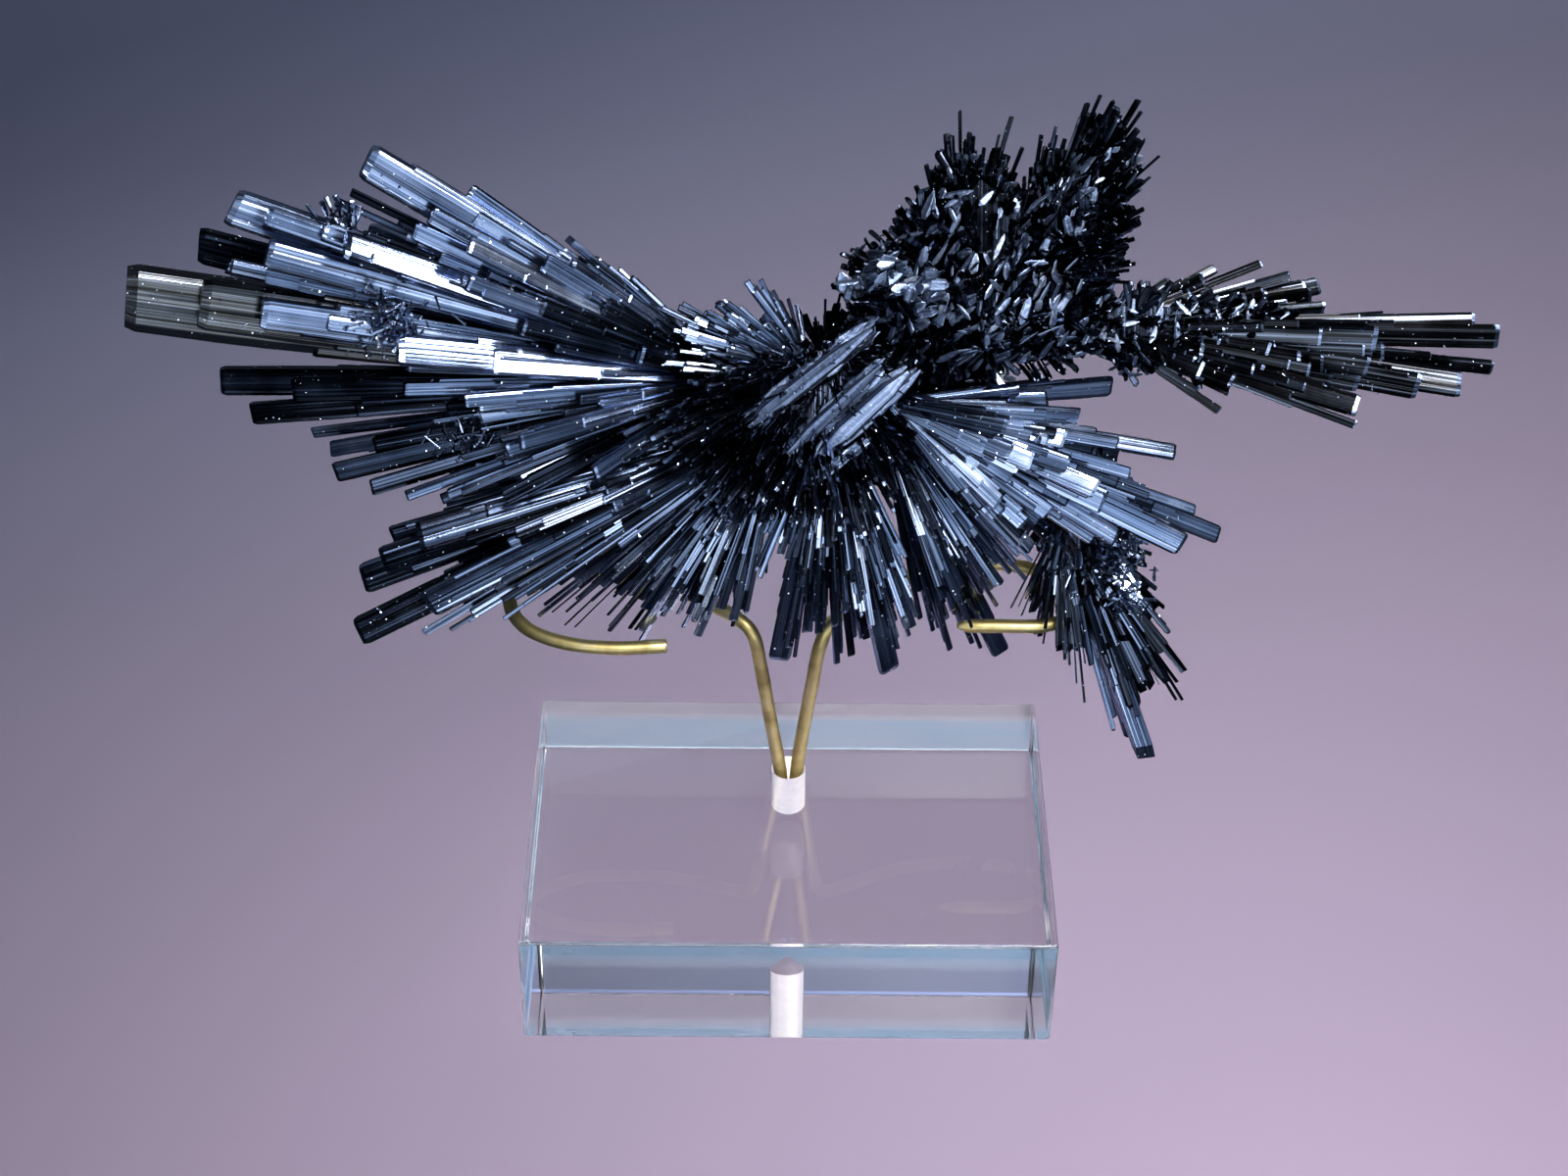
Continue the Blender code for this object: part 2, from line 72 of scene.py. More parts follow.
WIRE_RADIUS = 1.0
WIRE_FOOT_Z = 6.6
WIRE_SPACING = 2.4
WIRE_CLEARANCE = 0.35
WIRE_POINT_LENGTH = 3.2
LEFT_WIRE_ROUTE = [
    (-2.6, 10.8, 28), (-4.2, 10.8, 39), (-5.5, 11, 45.4), (-8.6, 12.8, 47.4), (-15, 16, 48.6),
    (-24, 18.4, 49.8), (-33, 18.6, 50.8), (-39, 15.6, 51), (-40.3, 11.6, 50), (-37.6, 7.6, 48.8),
    (-32, 5.2, 48.2), (-25, 4.4, 48), (-17.6, 5, 48),
]
RIGHT_WIRE_ROUTE = [
    (2.1, 10.8, 27), (3.3, 10.8, 36), (4.3, 10.8, 43.2), (6.2, 12.2, 46.8), (11, 16, 48.6),
    (19, 20.4, 49.6), (28, 22, 50), (36, 20.6, 49.8), (40.6, 16.6, 49), (40.4, 12.4, 48.2),
    (36.5, 10.2, 48), (30, 10, 48), (23.9, 10, 48),
]

# Each spray: its focus, then its crystals: tip (x, y, z) and full width.
LEFT_FAN = ((-8, 8, 92), [
    (-85, -2, 111, 9.6), (-75, -5, 112, 7.4), (-67, -7, 112, 5.0),
    (-78, 12, 110, 6.4),
    (-71, 2, 122, 5.5), (-66, -2, 123, 3.7), (-59, -2, 121, 3.1), (-56, -5, 121, 4.4), (-66, -4, 119, 4.6),
    (-67, -2, 114, 2.5), (-59, 10, 118, 1.0), (-57, 9, 120, 1.2),
    (-54, 5, 127, 5.5), (-42, 9, 120, 3.1), (-36, 9, 114, 2.5),
    (-46, 2, 121, 3.1), (-48, 0, 120, 2.5), (-41, -2, 119, 2.7), (-41, -6, 116, 2.7), (-45, 0, 116, 2.5),
    (-32, 2, 114, 3.2), (-29, 4, 112, 3.8), (-29, 10, 112, 1.0),
    (-78, 14, 87, 4.7), (-68, 12, 87, 4.0), (-74, 12, 83, 3.5), (-66, 12, 80, 1.9),
    (-63, 8, 80, 2.7), (-62, 4, 79, 3.4), (-57, 2, 78, 2.6), (-52, 0, 78, 1.8), (-47, -2, 79, 1.8),
    (-50, -9, 108, 4.9), (-50, -6, 100, 2.2), (-42, -9, 100, 2.2), (-37, -10, 93, 2.8),
    (-45, -10, 86, 2.0), (-38, -8, 84, 2.8), (-35, -12, 96, 2.5), (-26, -8, 88, 3.1),
])
LOWER_FAN = ((-2, 7, 85), [
    (-50, -6, 76, 5.0), (-55, 4, 68, 4.0), (-56, 0, 67, 4.6), (-60, 6, 59, 5.2), (-50, -2, 61, 4.6),
    (-61, 4, 51, 5.3), (-51, 0, 54, 2.2), (-37, 9, 51, 1.4), (-34, 10, 49, 0.9), (-32, 10, 46, 0.8),
    (-27, 6, 57, 1.2), (-24, 7, 55, 1.9), (-25, 9, 47, 1.7), (-21, 8, 47, 2.5), (-16, 6, 51, 1.4),
    (-14, 2, 53, 2.9), (-9, 3, 54, 2.0), (-7, 3, 54, 2.2), (-24, -12, 85, 2.9), (-22, 0, 61, 1.6),
    (-16, 0, 63, 1.9), (-10, -8, 76, 1.5),
])
CENTRE_FAN = ((5, 7, 88), [
    (-5, -4, 68, 1.6), (-1.6, 3, 47.5, 3.6), (1, 4, 47.5, 1.6), (3, 4, 50.5, 1.8), (4.6, 4, 48.5, 2.5),
    (7, 0, 60, 1.6), (8.5, 4, 48.5, 2.0), (11, 3, 47.5, 2.4), (14, 2, 46.5, 4.2), (17.6, 6, 48.5, 2.4),
    (10, 0, 56, 1.9), (13, -5, 67, 1.9), (5, -8, 76, 1.8), (17, -3, 64, 1.6),
])
RIGHT_LOWER_FAN = ((11, 7, 89), [
    (21.6, 8, 46, 2.2), (24.7, 13, 42.4, 2.3), (27.6, 14, 41, 2.0), (31, 15, 39, 3.4), (24.6, 4, 52.7, 1.8),
    (30, 12, 50, 2.0), (33, 10, 56, 1.8), (33, 6, 62, 1.6), (23, -6, 72, 1.8), (20, -8, 76, 1.8),
])
RIGHT_FAN = ((13, -1, 94.6), [
    (51, 2, 85, 3.1), (45, 0, 83, 2.0), (55, 4, 74, 1.8), (59, 6, 68, 2.8), (53, 0, 71, 4.0),
    (41, -2, 74, 4.0), (38, 6, 66, 1.8), (35, 4, 69, 1.2), (36, -5, 88, 3.0), (34, -5, 80, 2.8),
    (37, -4, 95, 2.3), (43, 0, 88, 2.0), (40, -5, 84, 3.2), (32, -5, 74, 2.6), (30, -4, 76, 1.8),
])
TOP_CLUSTER = ((2, 3, 97), [
    (-19, 8, 102.5, 2.2), (-17, 8, 104.5, 2.2), (-14, 8, 105.6, 2.4), (-10, 7, 105, 2.0), (-6.5, 8, 107.6, 2.0),
    (-4, 9, 107.6, 1.4), (-4, 8, 105, 1.4), (-16, 4, 102, 2.2), (-9, 3, 101.5, 1.8), (-2, 11, 102, 1.2),
    (-17, 3, 99.5, 2.0), (-12, 2, 99.5, 1.8),
])
RIGHT_ARM = ((40, 9, 100), [
    (93, 8, 100, 4.2), (90, 10, 101, 3.0), (76, 4, 102, 4.6), (93, 8, 95, 2.6), (88, 4, 95, 3.8),
    (82, 2, 96, 4.4), (75, 2, 99, 3.2), (73, -4, 97, 3.5), (74, 0, 91, 1.6), (57, 6, 89, 1.2),
    (66, 16, 104, 1.8), (62, 16, 106, 1.2), (56, 16, 105, 1.6), (52, 16, 103, 1.2), (60, 14, 99, 1.4),
    (67, 0, 100, 2.4), (61, 4, 104, 2.0), (69, -2, 98, 2.2),
])
DARK_CLUSTER = ((38, 13, 66), [
    (52, 2, 30, 3.6), (50, 4, 33, 2.6), (41.3, 2, 40.5, 1.2), (36, 15, 41, 0.9), (33.5, 15, 46, 0.9),
    (57, 8, 42, 1.8), (57, 8, 36.5, 1.6), (55.5, 8, 36, 1.6), (54, 14, 49, 1.8), (53.6, 14, 45, 1.2),
    (43, 6, 45, 2.4), (51, 10, 62, 1.4), (44, 5, 66, 2.7), (50, 5, 58, 2.6), (52, 8, 46, 2.2),
])
LEFT_PEAK = ((22, 11, 104), [
    (4.6, 4, 109, 1.8), (6.6, 4, 113, 2.0), (10.7, 6, 113, 2.0), (12, 8, 114, 1.7), (14, 10, 116, 1.7),
    (15, 12, 117, 1.8), (16, 12, 120, 2.0), (17.4, 12, 123.5, 2.0), (18.7, 14, 126, 2.0), (20.8, 14, 129, 1.6),
    (23, 12, 128, 1.6), (27, 14, 129, 1.2), (26, 12, 126, 1.6), (28.5, 16, 123.5, 1.7),
])
RIGHT_PEAK = ((30, 12, 106), [
    (32.5, 18, 124, 1.8), (33.7, 18, 125.5, 1.4), (38, 14, 131.5, 2.2), (41.5, 12, 133.4, 2.4),
    (42.5, 9, 133, 2.0), (43.4, 8, 130.3, 2.0), (46, 8, 127, 1.4), (44, 5, 124, 1.8), (44.6, 4, 120.3, 1.4),
    (40.4, 2, 120.2, 1.6), (43, 6, 116, 1.4), (43.6, 6, 112.5, 1.4), (40.4, 0, 115, 1.4), (43, 4, 110.5, 1.4),
])

SADDLE_SPIKES = ((4, 10, 94), [
    (0.4, 8, 103.4, 0.6), (1.3, 8, 102.6, 0.7), (2.6, 8, 101.4, 0.6), (4.5, 7, 103.8, 0.9), (5.5, 7, 105, 1.1),
    (6.6, 7, 103.8, 1.4), (7.4, 7, 102, 1.6),
])

# Slabs across the centre: low end, high end and width.
SLABS = [
    ((-6, -5.7, 94.2), (9.6, -1.7, 107), 3.2), ((-0.9, -8.7, 92.1), (11.2, -5.7, 103.7), 2.5),
    ((3.2, -9.2, 92.5), (14.8, -5.7, 102.6), 3.5), ((2.7, -9.7, 88.9), (9.5, -5.7, 92.4), 1.6),
]

# Solid bodies: centre, y of the front and of the back, and the rim as (x, z) points.
MOUND = ((25, 10, 108), -1, 20, [
    (45, 100), (41, 106), (42, 112), (43, 119), (44, 126), (40, 129), (35, 123), (31, 118), (26, 121),
    (21, 125), (17, 119), (13, 113), (6, 110), (8, 104), (5, 96), (18, 90), (36, 94),
])
ARM_BODY = ((48, 9, 100), 4, 14, [(70, 99), (64, 103), (52, 104), (38, 104), (34, 98), (44, 93), (60, 95)])
DARK_BODY = ((40, 11, 66), 4, 18, [(47, 70), (40, 82), (22, 92), (26, 76), (34, 64), (43, 54), (46.5, 44), (50, 54)])
CORE = ((14, 12, 90), 8, 19, [(28, 96), (20, 104), (8, 102), (0, 90), (4, 80), (14, 74), (26, 80)])
SADDLE = ((2, 3, 91), -7, 14, [(12, 98), (9, 101), (2, 100.5), (-8, 97.5), (-13, 91), (-3, 82), (8, 80), (12, 88)])

# Bodies in the order they are made, with how far each is shrunk and set in.
GROUNDS = [(MOUND, 0.93, 0.8), (ARM_BODY, 0.9, 0.8), (DARK_BODY, 0.92, 0.8), (SADDLE, 0.95, 2.0), (CORE, 1.0, 0.0)]

CAMERA_PLACE = (-0.00301, -0.31269, 0.31451)
CAMERA_PITCH_YAW_ROLL = (38.836, 0.357, 0.683)
CAMERA_LENS, CAMERA_SENSOR = 66.83, 36.0
KEY_PLACES = ((0.24, -0.36, 0.62), (0.54, -0.07, 0.58))
SOFTBOX_PLACES = ((0.2, -0.66, 0.38), (0.54, -0.47, 0.15))

# A look: tone from black to bright steel, olive cast, dustiness, how far the flat face is turned away from
# mirroring its light and how much that varies, how far the crystal twists (all degrees), and the lights.
Look = namedtuple("Look", "tone cast dust turn turn_spread twist lights", defaults=(0, 0, 0, SOFTBOX_PLACES))
LOOKS = {
    "steel": Look(0.44, 0, 0, 0, 7, 6),
    "blue": Look(0.47, 0, 0.05, 0, 4, 6),
    "glare": Look(0.6, 0, 0, 0, 1, 12, KEY_PLACES),
    "navy": Look(0.26, 0, 0.05, 5, 6, 6),
    "black": Look(0.08, 0.1, 0, 22, 10),
    "olive": Look(0.2, 0.6, 0.05, -7, 3, 3),
    "smoky": Look(0.04, 0.36, 0.1, 22, 8),
    "pale": Look(0.9, 0, 0, 0, 7, 4),
    "scale": Look(0.6, 0, 0.9, 0, 12),
    "chunk": Look(0.35, 0, 0.9, 0, 12),
    "slab": Look(0.5, 0, 0.9, 0, 6),
}
# The arm's crystal ends: dust, and a tone paler than the arm's own that paints the highlight of light from the right
# on the end faces.
CAP_DUST_AND_PAINTED_HIGHLIGHT = Look(0.36, 0, 0.6)

# The looks of single crystals in each spray, by their place in its list.
LEFT_LOOKS = {0: "olive", 1: "olive", 2: "steel", 3: "black", 4: "blue", 5: "blue", 6: "blue", 7: "glare",
              8: "blue", 9: "navy", 12: "blue", 13: "blue", 15: "steel", 16: "blue", 17: "glare", 18: "blue",
              19: "steel", 20: "blue", 21: "glare", 32: "glare", 33: "blue", 34: "steel", 35: "blue", 38: "blue"}
LOWER_LOOKS = {6: "steel", 11: "steel", 13: "pale", 14: "steel", 15: "pale", 16: "steel", 17: "pale", 18: "blue",
               19: "pale", 20: "steel", 21: "glare"}
CENTRE_LOOKS = {0: "glare", 1: "steel", 3: "steel", 6: "pale", 8: "steel", 10: "pale", 12: "steel"}
RIGHT_LOWER_LOOKS = {4: "glare", 8: "glare", 0: "steel", 9: "blue"}
RIGHT_LOOKS = {0: "glare", 3: "blue", 5: "blue", 7: "black"}
TOP_LOOKS = {0: "steel", 2: "steel", 4: "blue", 7: "steel", 9: "black", 10: "glare", 11: "steel"}
DARK_LOOKS = {0: "steel", 1: "blue", 10: "steel", 12: "pale", 13: "pale", 14: "blue"}

TONE_SPREAD = 0.12
BRUSHED_BELOW = 3.3         # listed crystals narrower than this may grow as bundles
BACKED_FROM = 3.1           # listed crystals at least this wide get another behind them
PLATES, FILL_PLATES = 2.0, 0.8
FROSTING_COUNT = 7000
CRYSTAL_CREASE, BLOCK_CREASE = math.radians(7.0), math.radians(35.0)
STEEL_STOPS = [(0.0, (0.008, 0.010, 0.016)), (0.3, (0.06, 0.08, 0.13)), (0.6, (0.18, 0.235, 0.37)),
               (1.0, (0.48, 0.56, 0.72))]
OLIVE_STOPS = [(0.0, (0.02, 0.018, 0.012)), (0.45, (0.10, 0.095, 0.07)), (1.0, (0.36, 0.34, 0.27))]
SPECK_COLOUR = (0.75, 0.8, 0.88, 1.0)
BRASS_STOPS = [(0.3, (0.28, 0.22, 0.09)), (0.5, (0.50, 0.41, 0.18)), (0.75, (0.62, 0.54, 0.30))]
# Back face colours: blue where the painted cool light is strongest, near white above it.
PAINTED_COOL_LIGHT_STOPS = [(0.1, (0.24, 0.42, 0.55)), (0.9, (0.92, 0.95, 1.0))]
FROSTED_STOPS = [(0.3, (0.86, 0.88, 0.92)), (0.7, (0.98, 0.98, 1.0))]
# Floor colours from front to back: painted light falloff, brightest in the middle and darkest and bluest at the back.
FLOOR_PAINTED_FALLOFF_STOPS = [(0.0, (0.242, 0.192, 0.262)), (0.25, (0.298, 0.246, 0.323)), (0.5, (0.315, 0.282, 0.36)),
               (0.75, (0.272, 0.279, 0.386)), (1.0, (0.12, 0.14, 0.235))]
FLOOR_FALLOFF_SLANT, FLOOR_FALLOFF_DEPTHS = 0.602, (-0.12, 0.36)
# Heights over which the back face's painted cool light fades out.
PAINTED_COOL_LIGHT_HEIGHTS = (0.0115, 0.0155)
ACRYLIC_IOR = 1.49
WARM_WHITE, SOFTBOX_BLUE = (1.0, 0.98, 0.97), (0.68, 0.83, 1.0)


# ---------------------------------------------------------------- crystals

class Crystals:
    """Closed crystals gathered into one mesh. Each face knows its crystal's tone, cast and dust."""

    def __init__(self):
        self.points, self.corners, self.sizes, self.grain, self.looks = [], [], [], [], []
        self.total = 0

    def prism(self, rings, girth, along, look, cap_look=None):
        """Join rings of points (ring, point, xyz) into a closed prism with flat ends."""
        count, sides = rings.shape[:2]
        index = self.total + np.arange(count * sides).reshape(count, sides)
        following = np.roll(index, -1, axis=1)
        quads = np.stack([following[:-1], index[:-1], index[1:], following[1:]], axis=-1).reshape(-1, 4)
        offset = rng.uniform(0.0, 500.0, 2)
        wide = np.append(0.0, np.cumsum(girth)) + offset[0]
        far = along + offset[1]
        shape = (count - 1, sides, 4)
        u = np.broadcast_to(np.stack([wide[1:], wide[:-1], wide[:-1], wide[1:]], axis=-1), shape)
        v = np.broadcast_to(np.stack([far[:-1], far[:-1], far[1:], far[1:]], axis=-1)[:, None], shape)
        cap = np.stack([wide[:-1], np.full(sides, far[0])], axis=-1)
        looks = np.tile(np.array(look, float), (len(quads) + 2, 1))
        if cap_look is not None:
            looks[-sides - 2:-2] = cap_look
            looks[-1] = cap_look
        self.points.append(rings.reshape(-1, 3))
        self.corners += [quads.ravel(), index[0], index[-1][::-1]]
        self.sizes += [np.full(len(quads), 4), np.array([sides, sides])]
        self.grain += [np.stack([u, v], axis=-1).reshape(-1, 2), cap, cap[::-1]]
        self.looks.append(looks)
        self.total += count * sides

    def make(self, name, material):
        """One object with everything gathered so far."""
        mesh = bpy.data.meshes.new(name)
        points = np.clip(np.concatenate(self.points) * MM, CAD_LOW, CAD_HIGH)
        corners = np.concatenate(self.corners)
        sizes = np.concatenate(self.sizes)
        mesh.vertices.add(len(points))
        mesh.vertices.foreach_set("co", points.ravel())
        mesh.loops.add(len(corners))
        mesh.loops.foreach_set("vertex_index", corners)
        mesh.polygons.add(len(sizes))
        mesh.polygons.foreach_set("loop_start", np.cumsum(sizes) - sizes)
        mesh.uv_layers.new(name="grain").data.foreach_set("uv", np.concatenate(self.grain).ravel())
        looks = mesh.attributes.new("look", "FLOAT_VECTOR", "FACE")
        looks.data.foreach_set("vector", np.concatenate(self.looks).ravel())
        mesh.update(calc_edges=True)
        mesh.validate()
        mesh.shade_smooth()
        mesh.set_sharp_from_angle(angle=CRYSTAL_CREASE)
        print("piece", name, int((sizes - 2).sum()), "triangles")
        return add_piece(name, mesh, material, "stibnite_spray")


def add_object(name, data):
    """An object in the scene that shows the data."""
    added = bpy.data.objects.new(name, data)
    bpy.context.scene.collection.objects.link(added)
    return added


def add_piece(name, mesh, material, node):
    """A piece of the object that rides on the root and stands for a CAD node."""
    piece = add_object(name, mesh)
    mesh.materials.append(material)
    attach(piece, "root")
    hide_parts(node)
    return piece


def unit(vector):
    """The vector at length one."""
    return vector / np.linalg.norm(vector)


def split(vector):
    """The vector's direction and its length."""
    length = np.linalg.norm(vector)
    return vector / length, length


def square_to(face, axis):
    """The direction nearest to the face that is square to the axis."""
    return unit(face - axis * np.dot(face, axis))


def circle(sides):
    """The cosines and sines of even turns around a circle."""
    turns = np.arange(sides) / sides * 2.0 * math.pi
    return np.cos(turns), np.sin(turns)


def outline_of(sides, groove):
    """A crystal's cross-section as shares of width and thickness, grooved along its flat faces."""
    if sides == 4:
        return np.array([(0.5, 0.0), (0.0, 0.5), (-0.5, 0.0), (0.0, -0.5)])
    if sides == 6:
        return np.array([(0.5, 0.0), (0.32, 0.5), (-0.32, 0.5), (-0.5, 0.0), (-0.32, -0.5), (0.32, -0.5)])
    half = (sides - 2) // 2
    faces = []
    for sign in (1.0, -1.0):
        u = np.linspace(0.41, -0.41, half) + rng.uniform(-0.25, 0.25, half) * 0.8 / half
        v = 0.5 - groove * rng.random(half)
        v[[0, -1]] -= 0.06
        faces.append(np.stack([u * sign, v * sign], axis=-1))
    return np.vstack([[(0.5, 0.0)], faces[0], [(-0.5, 0.0)], faces[1]])


TURNS = np.radians(np.arange(0.0, 360.0, 2.0))[:, None]


def blade_axes(axis, middle, lights, turn):
    """Directions across a blade's width and out of its flat face.

    The face mirrors one of the lights as nearly as it can, then turns by some degrees about the axis.
    """
    view = unit(np.array(CAMERA_PLACE) / MM - middle)
    shine = [unit(np.array(light) / MM - middle) for light in lights]
    side = unit(np.cross(axis, view))
    front = np.cross(side, axis)
    faces = np.cos(TURNS) * front + np.sin(TURNS) * side
    mirrored = 2.0 * (faces @ view)[:, None] * faces - view
    best = float(TURNS[np.argmax((mirrored @ np.transpose(shine)).max(axis=1)), 0]) + math.radians(turn)
    face = math.cos(best) * front + math.sin(best) * side
    return np.cross(axis, face), face


def facing(axis, middle, look):
    """A crystal's across and face directions for its look."""
    return blade_axes(axis, middle, look.lights, rng.choice((-1.0, 1.0)) * rng.normal(look.turn, look.turn_spread))


# A blade's end: its shares of width and thickness, then its slant and its bevel as shares of the width.
ENDS = {"cut": (0.9, 0.75, 0.14, 0.16), "hip": (0.6, 0.45, 0.3, 0.45), "chisel": (0.85, 0.25, 0.35, 0.7)}


def blade(batch, root, axis, across, face, length, width, thickness, look, sides, root_share,
          full=None, shift=(0.0, 0.0), end="cut", start=0.0, cap_look=None, twist=0.0):
    """Add one striated blade. It widens until four fifths of the full length; shift moves it aside.

    The full crystal turns about its axis by the twist (radians) from its root to its tip.
    """
    end_wide, end_thick, slant, bevel = ENDS[end]
    full = full or length
    slant = width * rng.uniform(-slant, slant)
    bevel = min(width * bevel, 0.4 * length * (1.0 - start))
    spans = 1 if sides <= 6 else 1 + int(length * (1.0 - start) / (6.0 if twist else 15.0))
    stations = np.append(np.linspace(start * length, length - bevel, spans + 1), length)
    grow = root_share + (1.0 - root_share) * np.minimum(stations / (0.8 * full), 1.0)
    wide = grow.copy()
    thick = grow.copy()
    wide[-1] *= end_wide
    thick[-1] *= end_thick
    outline = outline_of(sides, 0.05 if width > 2.0 else 0.12)
    side = wide[:, None] * outline[:, 0] * width + (grow * shift[0])[:, None]
    out = thick[:, None] * outline[:, 1] * thickness + (grow * shift[1])[:, None]
    turn = twist * (stations / full - 0.5)[:, None]
    side, out = side * np.cos(turn) - out * np.sin(turn), side * np.sin(turn) + out * np.cos(turn)
    reach = np.repeat(stations[:, None], sides, axis=1)
    reach[-2:] += slant * outline[:, 0]
    rings = root + reach[..., None] * axis + side[..., None] * across + out[..., None] * face
    steps = np.roll(outline, -1, axis=0) - outline
    batch.prism(rings, np.hypot(steps[:, 0] * width, steps[:, 1] * thickness), stations, look, cap_look)


def needle(batch, root, tip, width, look):
    """Add a thin four-sided crystal."""
    axis, length = split(tip - root)
    across, face = blade_axes(axis, root, SOFTBOX_PLACES, rng.uniform(-45.0, 45.0))
    blade(batch, root, axis, across, face, length, width, width * 0.7, look, 4, 0.5)


def sides_for(width):
    """How many sides a blade of this width shows."""
    return 24 if width > 3.6 else 18 if width > 2.2 else 12 if width > 1.1 else 6


def toned(look, spread):
    """The look with its tone varied a little."""
    return look._replace(tone=float(np.clip(rng.normal(look.tone, spread), 0.0, 1.0)))


def varied(look, spread):
    """A look's tone, cast and dust, with the tone varied a little."""
    return toned(look, spread)[:3]


frost_places = []


def plank(batch, root, tip, width, look, overlays, behind=False, root_share=0.5, cap_look=None, end="cut"):
    """Add a listed crystal: a flat grooved body, strips along its edges and plates on its faces."""
    axis, length = split(tip - root)
    across, face = facing(axis, 0.4 * root + 0.6 * tip, look)
    depth = width * rng.uniform(0.3, 0.42)
    twist = math.radians(look.twist) * rng.choice((-1.0, 1.0)) * rng.uniform(0.6, 1.2)

    def part(share, w, thick, side, out, spread=0.06, begin=0.0):
        blade(batch, root, axis, across, face, length * share, w, thick, varied(look, spread), sides_for(w),
              root_share, length, (side, out), end, begin / share, cap_look and varied(cap_look, 0.2), twist)

    strips = 0 if width < 1.3 else 1 if width < 2.6 else 2
    body = width * (rng.uniform(0.8, 0.93) if strips else 1.0)
    sign = rng.choice((-1.0, 1.0))
    part(1.0, body, depth, sign * 0.5 * (width - body) * (strips == 1), 0.0)
    for _ in range(strips):
        w = width * rng.uniform(0.18, 0.45)
        sign = -sign
        part(rng.uniform(0.62, 0.95), w, depth * rng.uniform(0.75, 1.15), sign * 0.5 * (width - w),
             rng.uniform(-0.12, 0.12) * depth)
    for _ in range(rng.poisson(overlays * min(width / 2.5, 2.2))):
        w = max(width * rng.uniform(0.15, 0.75), 0.4)
        begin = rng.uniform(0.0, 0.45)
        front = -1.0 if rng.random() < 0.2 else 1.0
        thick = min(0.4 * w, 0.4 * depth)
        part(rng.uniform(begin + 0.2, 0.96), w, thick, rng.uniform(-0.5, 0.5) * (width - w),
             front * (0.5 * depth + rng.uniform(-0.1, 0.3) * thick), 0.12, begin)
    if behind:
        return
    for _ in range(rng.poisson(0.07 * width * length)):
        far = rng.uniform(0.3, 0.97)
        grow = root_share + (1.0 - root_share) * min(far / 0.8, 1.0)
        side = rng.uniform(-0.38, 0.38) * width * grow
        frost_places.append((root + axis * far * length + across * side + face * (0.52 * depth * grow), face))


def brush(batch, root, tip, width, look, count):
    """Add a listed crystal as a bundle of thin parallel blades with staggered ends."""
    axis, length = split(tip - root)
    across, face = facing(axis, 0.4 * root + 0.6 * tip, look)
    for number in range(count):
        w = width * rng.uniform(0.28, 0.55)
        offset = (across * rng.uniform(-0.6, 0.6) + face * rng.uniform(-0.4, 0.4)) * width
        lean = axis + rng.normal(0.0, 0.025, 3)
        reach = length * (1.0 if number == 0 else rng.uniform(0.72, 0.98))
        blade(batch, root + offset, unit(lean), across, face, reach, w, w * 0.5, varied(look, 0.15), sides_for(w),
              0.7, end="hip" if number % 3 == 2 else "cut")


# ---------------------------------------------------------------- the wires' clearance

def catmull_rom(points, per_span):
    """A smooth open curve through the points."""
    points = np.array(points, float)
    padded = np.vstack([points[:1], points, points[-1:]])
    curve = []
    for before, begin, end, after in zip(padded, padded[1:], padded[2:], padded[3:]):
        for step in range(per_span):
            t = step / per_span
            curve.append(0.5 * (2.0 * begin + (end - before) * t
                                + (2.0 * before - 5.0 * begin + 4.0 * end - after) * t ** 2
                                + (3.0 * begin - before - 3.0 * end + after) * t ** 3))
    curve.append(points[-1])
    return np.array(curve)


def wire_route(side, above, per_span=6):
    """A wire's centre line: its straight foot in the hole, then its route above the block."""
    foot = [(side * WIRE_SPACING / 2.0, HOLE_CENTRE_Y, z) for z in (WIRE_FOOT_Z, 13.0, BLOCK_SIZE[2] - 1.0)]
    return catmull_rom(foot + above, per_span)


WIRES = np.vstack([wire_route(-1, LEFT_WIRE_ROUTE), wire_route(1, RIGHT_WIRE_ROUTE)])
WIRES = WIRES[WIRES[:, 2] > 25.0]


def clear(root, tip, width):
    """The tip, pulled back along the crystal until it clears the wires."""
    shares = np.linspace(0.3, 1.0, 60)
    places = root + (tip - root) * shares[:, None]
    gaps = np.linalg.norm(places[:, None] - WIRES[None], axis=-1).min(axis=1)
    near = gaps < WIRE_RADIUS + 0.5 * width + WIRE_CLEARANCE
    if not near.any():
        return tip
    return root + (tip - root) * max(shares[near.argmax()] - 0.03, 0.2)


# ---------------------------------------------------------------- sprays

def in_order(focus, crystals):
    """The crystals' reaches from the focus, in the order of their bearings seen from the front."""
    reaches = np.array([c[:3] for c in crystals], float) - focus
    middle = unit(sum(unit(reach) for reach in reaches))
    bearings = np.arctan2(reaches @ np.array((-middle[2], 0.0, middle[0])), reaches @ middle)
    return reaches[np.argsort(bearings)]


def between(reaches, share):
    """A random reach between two neighbours, as a direction and the shorter one's length times share."""
    first = rng.integers(len(reaches) - 1)
    near, far = reaches[first], reaches[first + 1]
    t = rng.random()
    axis = unit(unit(near) * (1.0 - t) + unit(far) * t + rng.normal(0.0, 0.02, 3))
    return axis, min(np.linalg.norm(near), np.linalg.norm(far)) * share


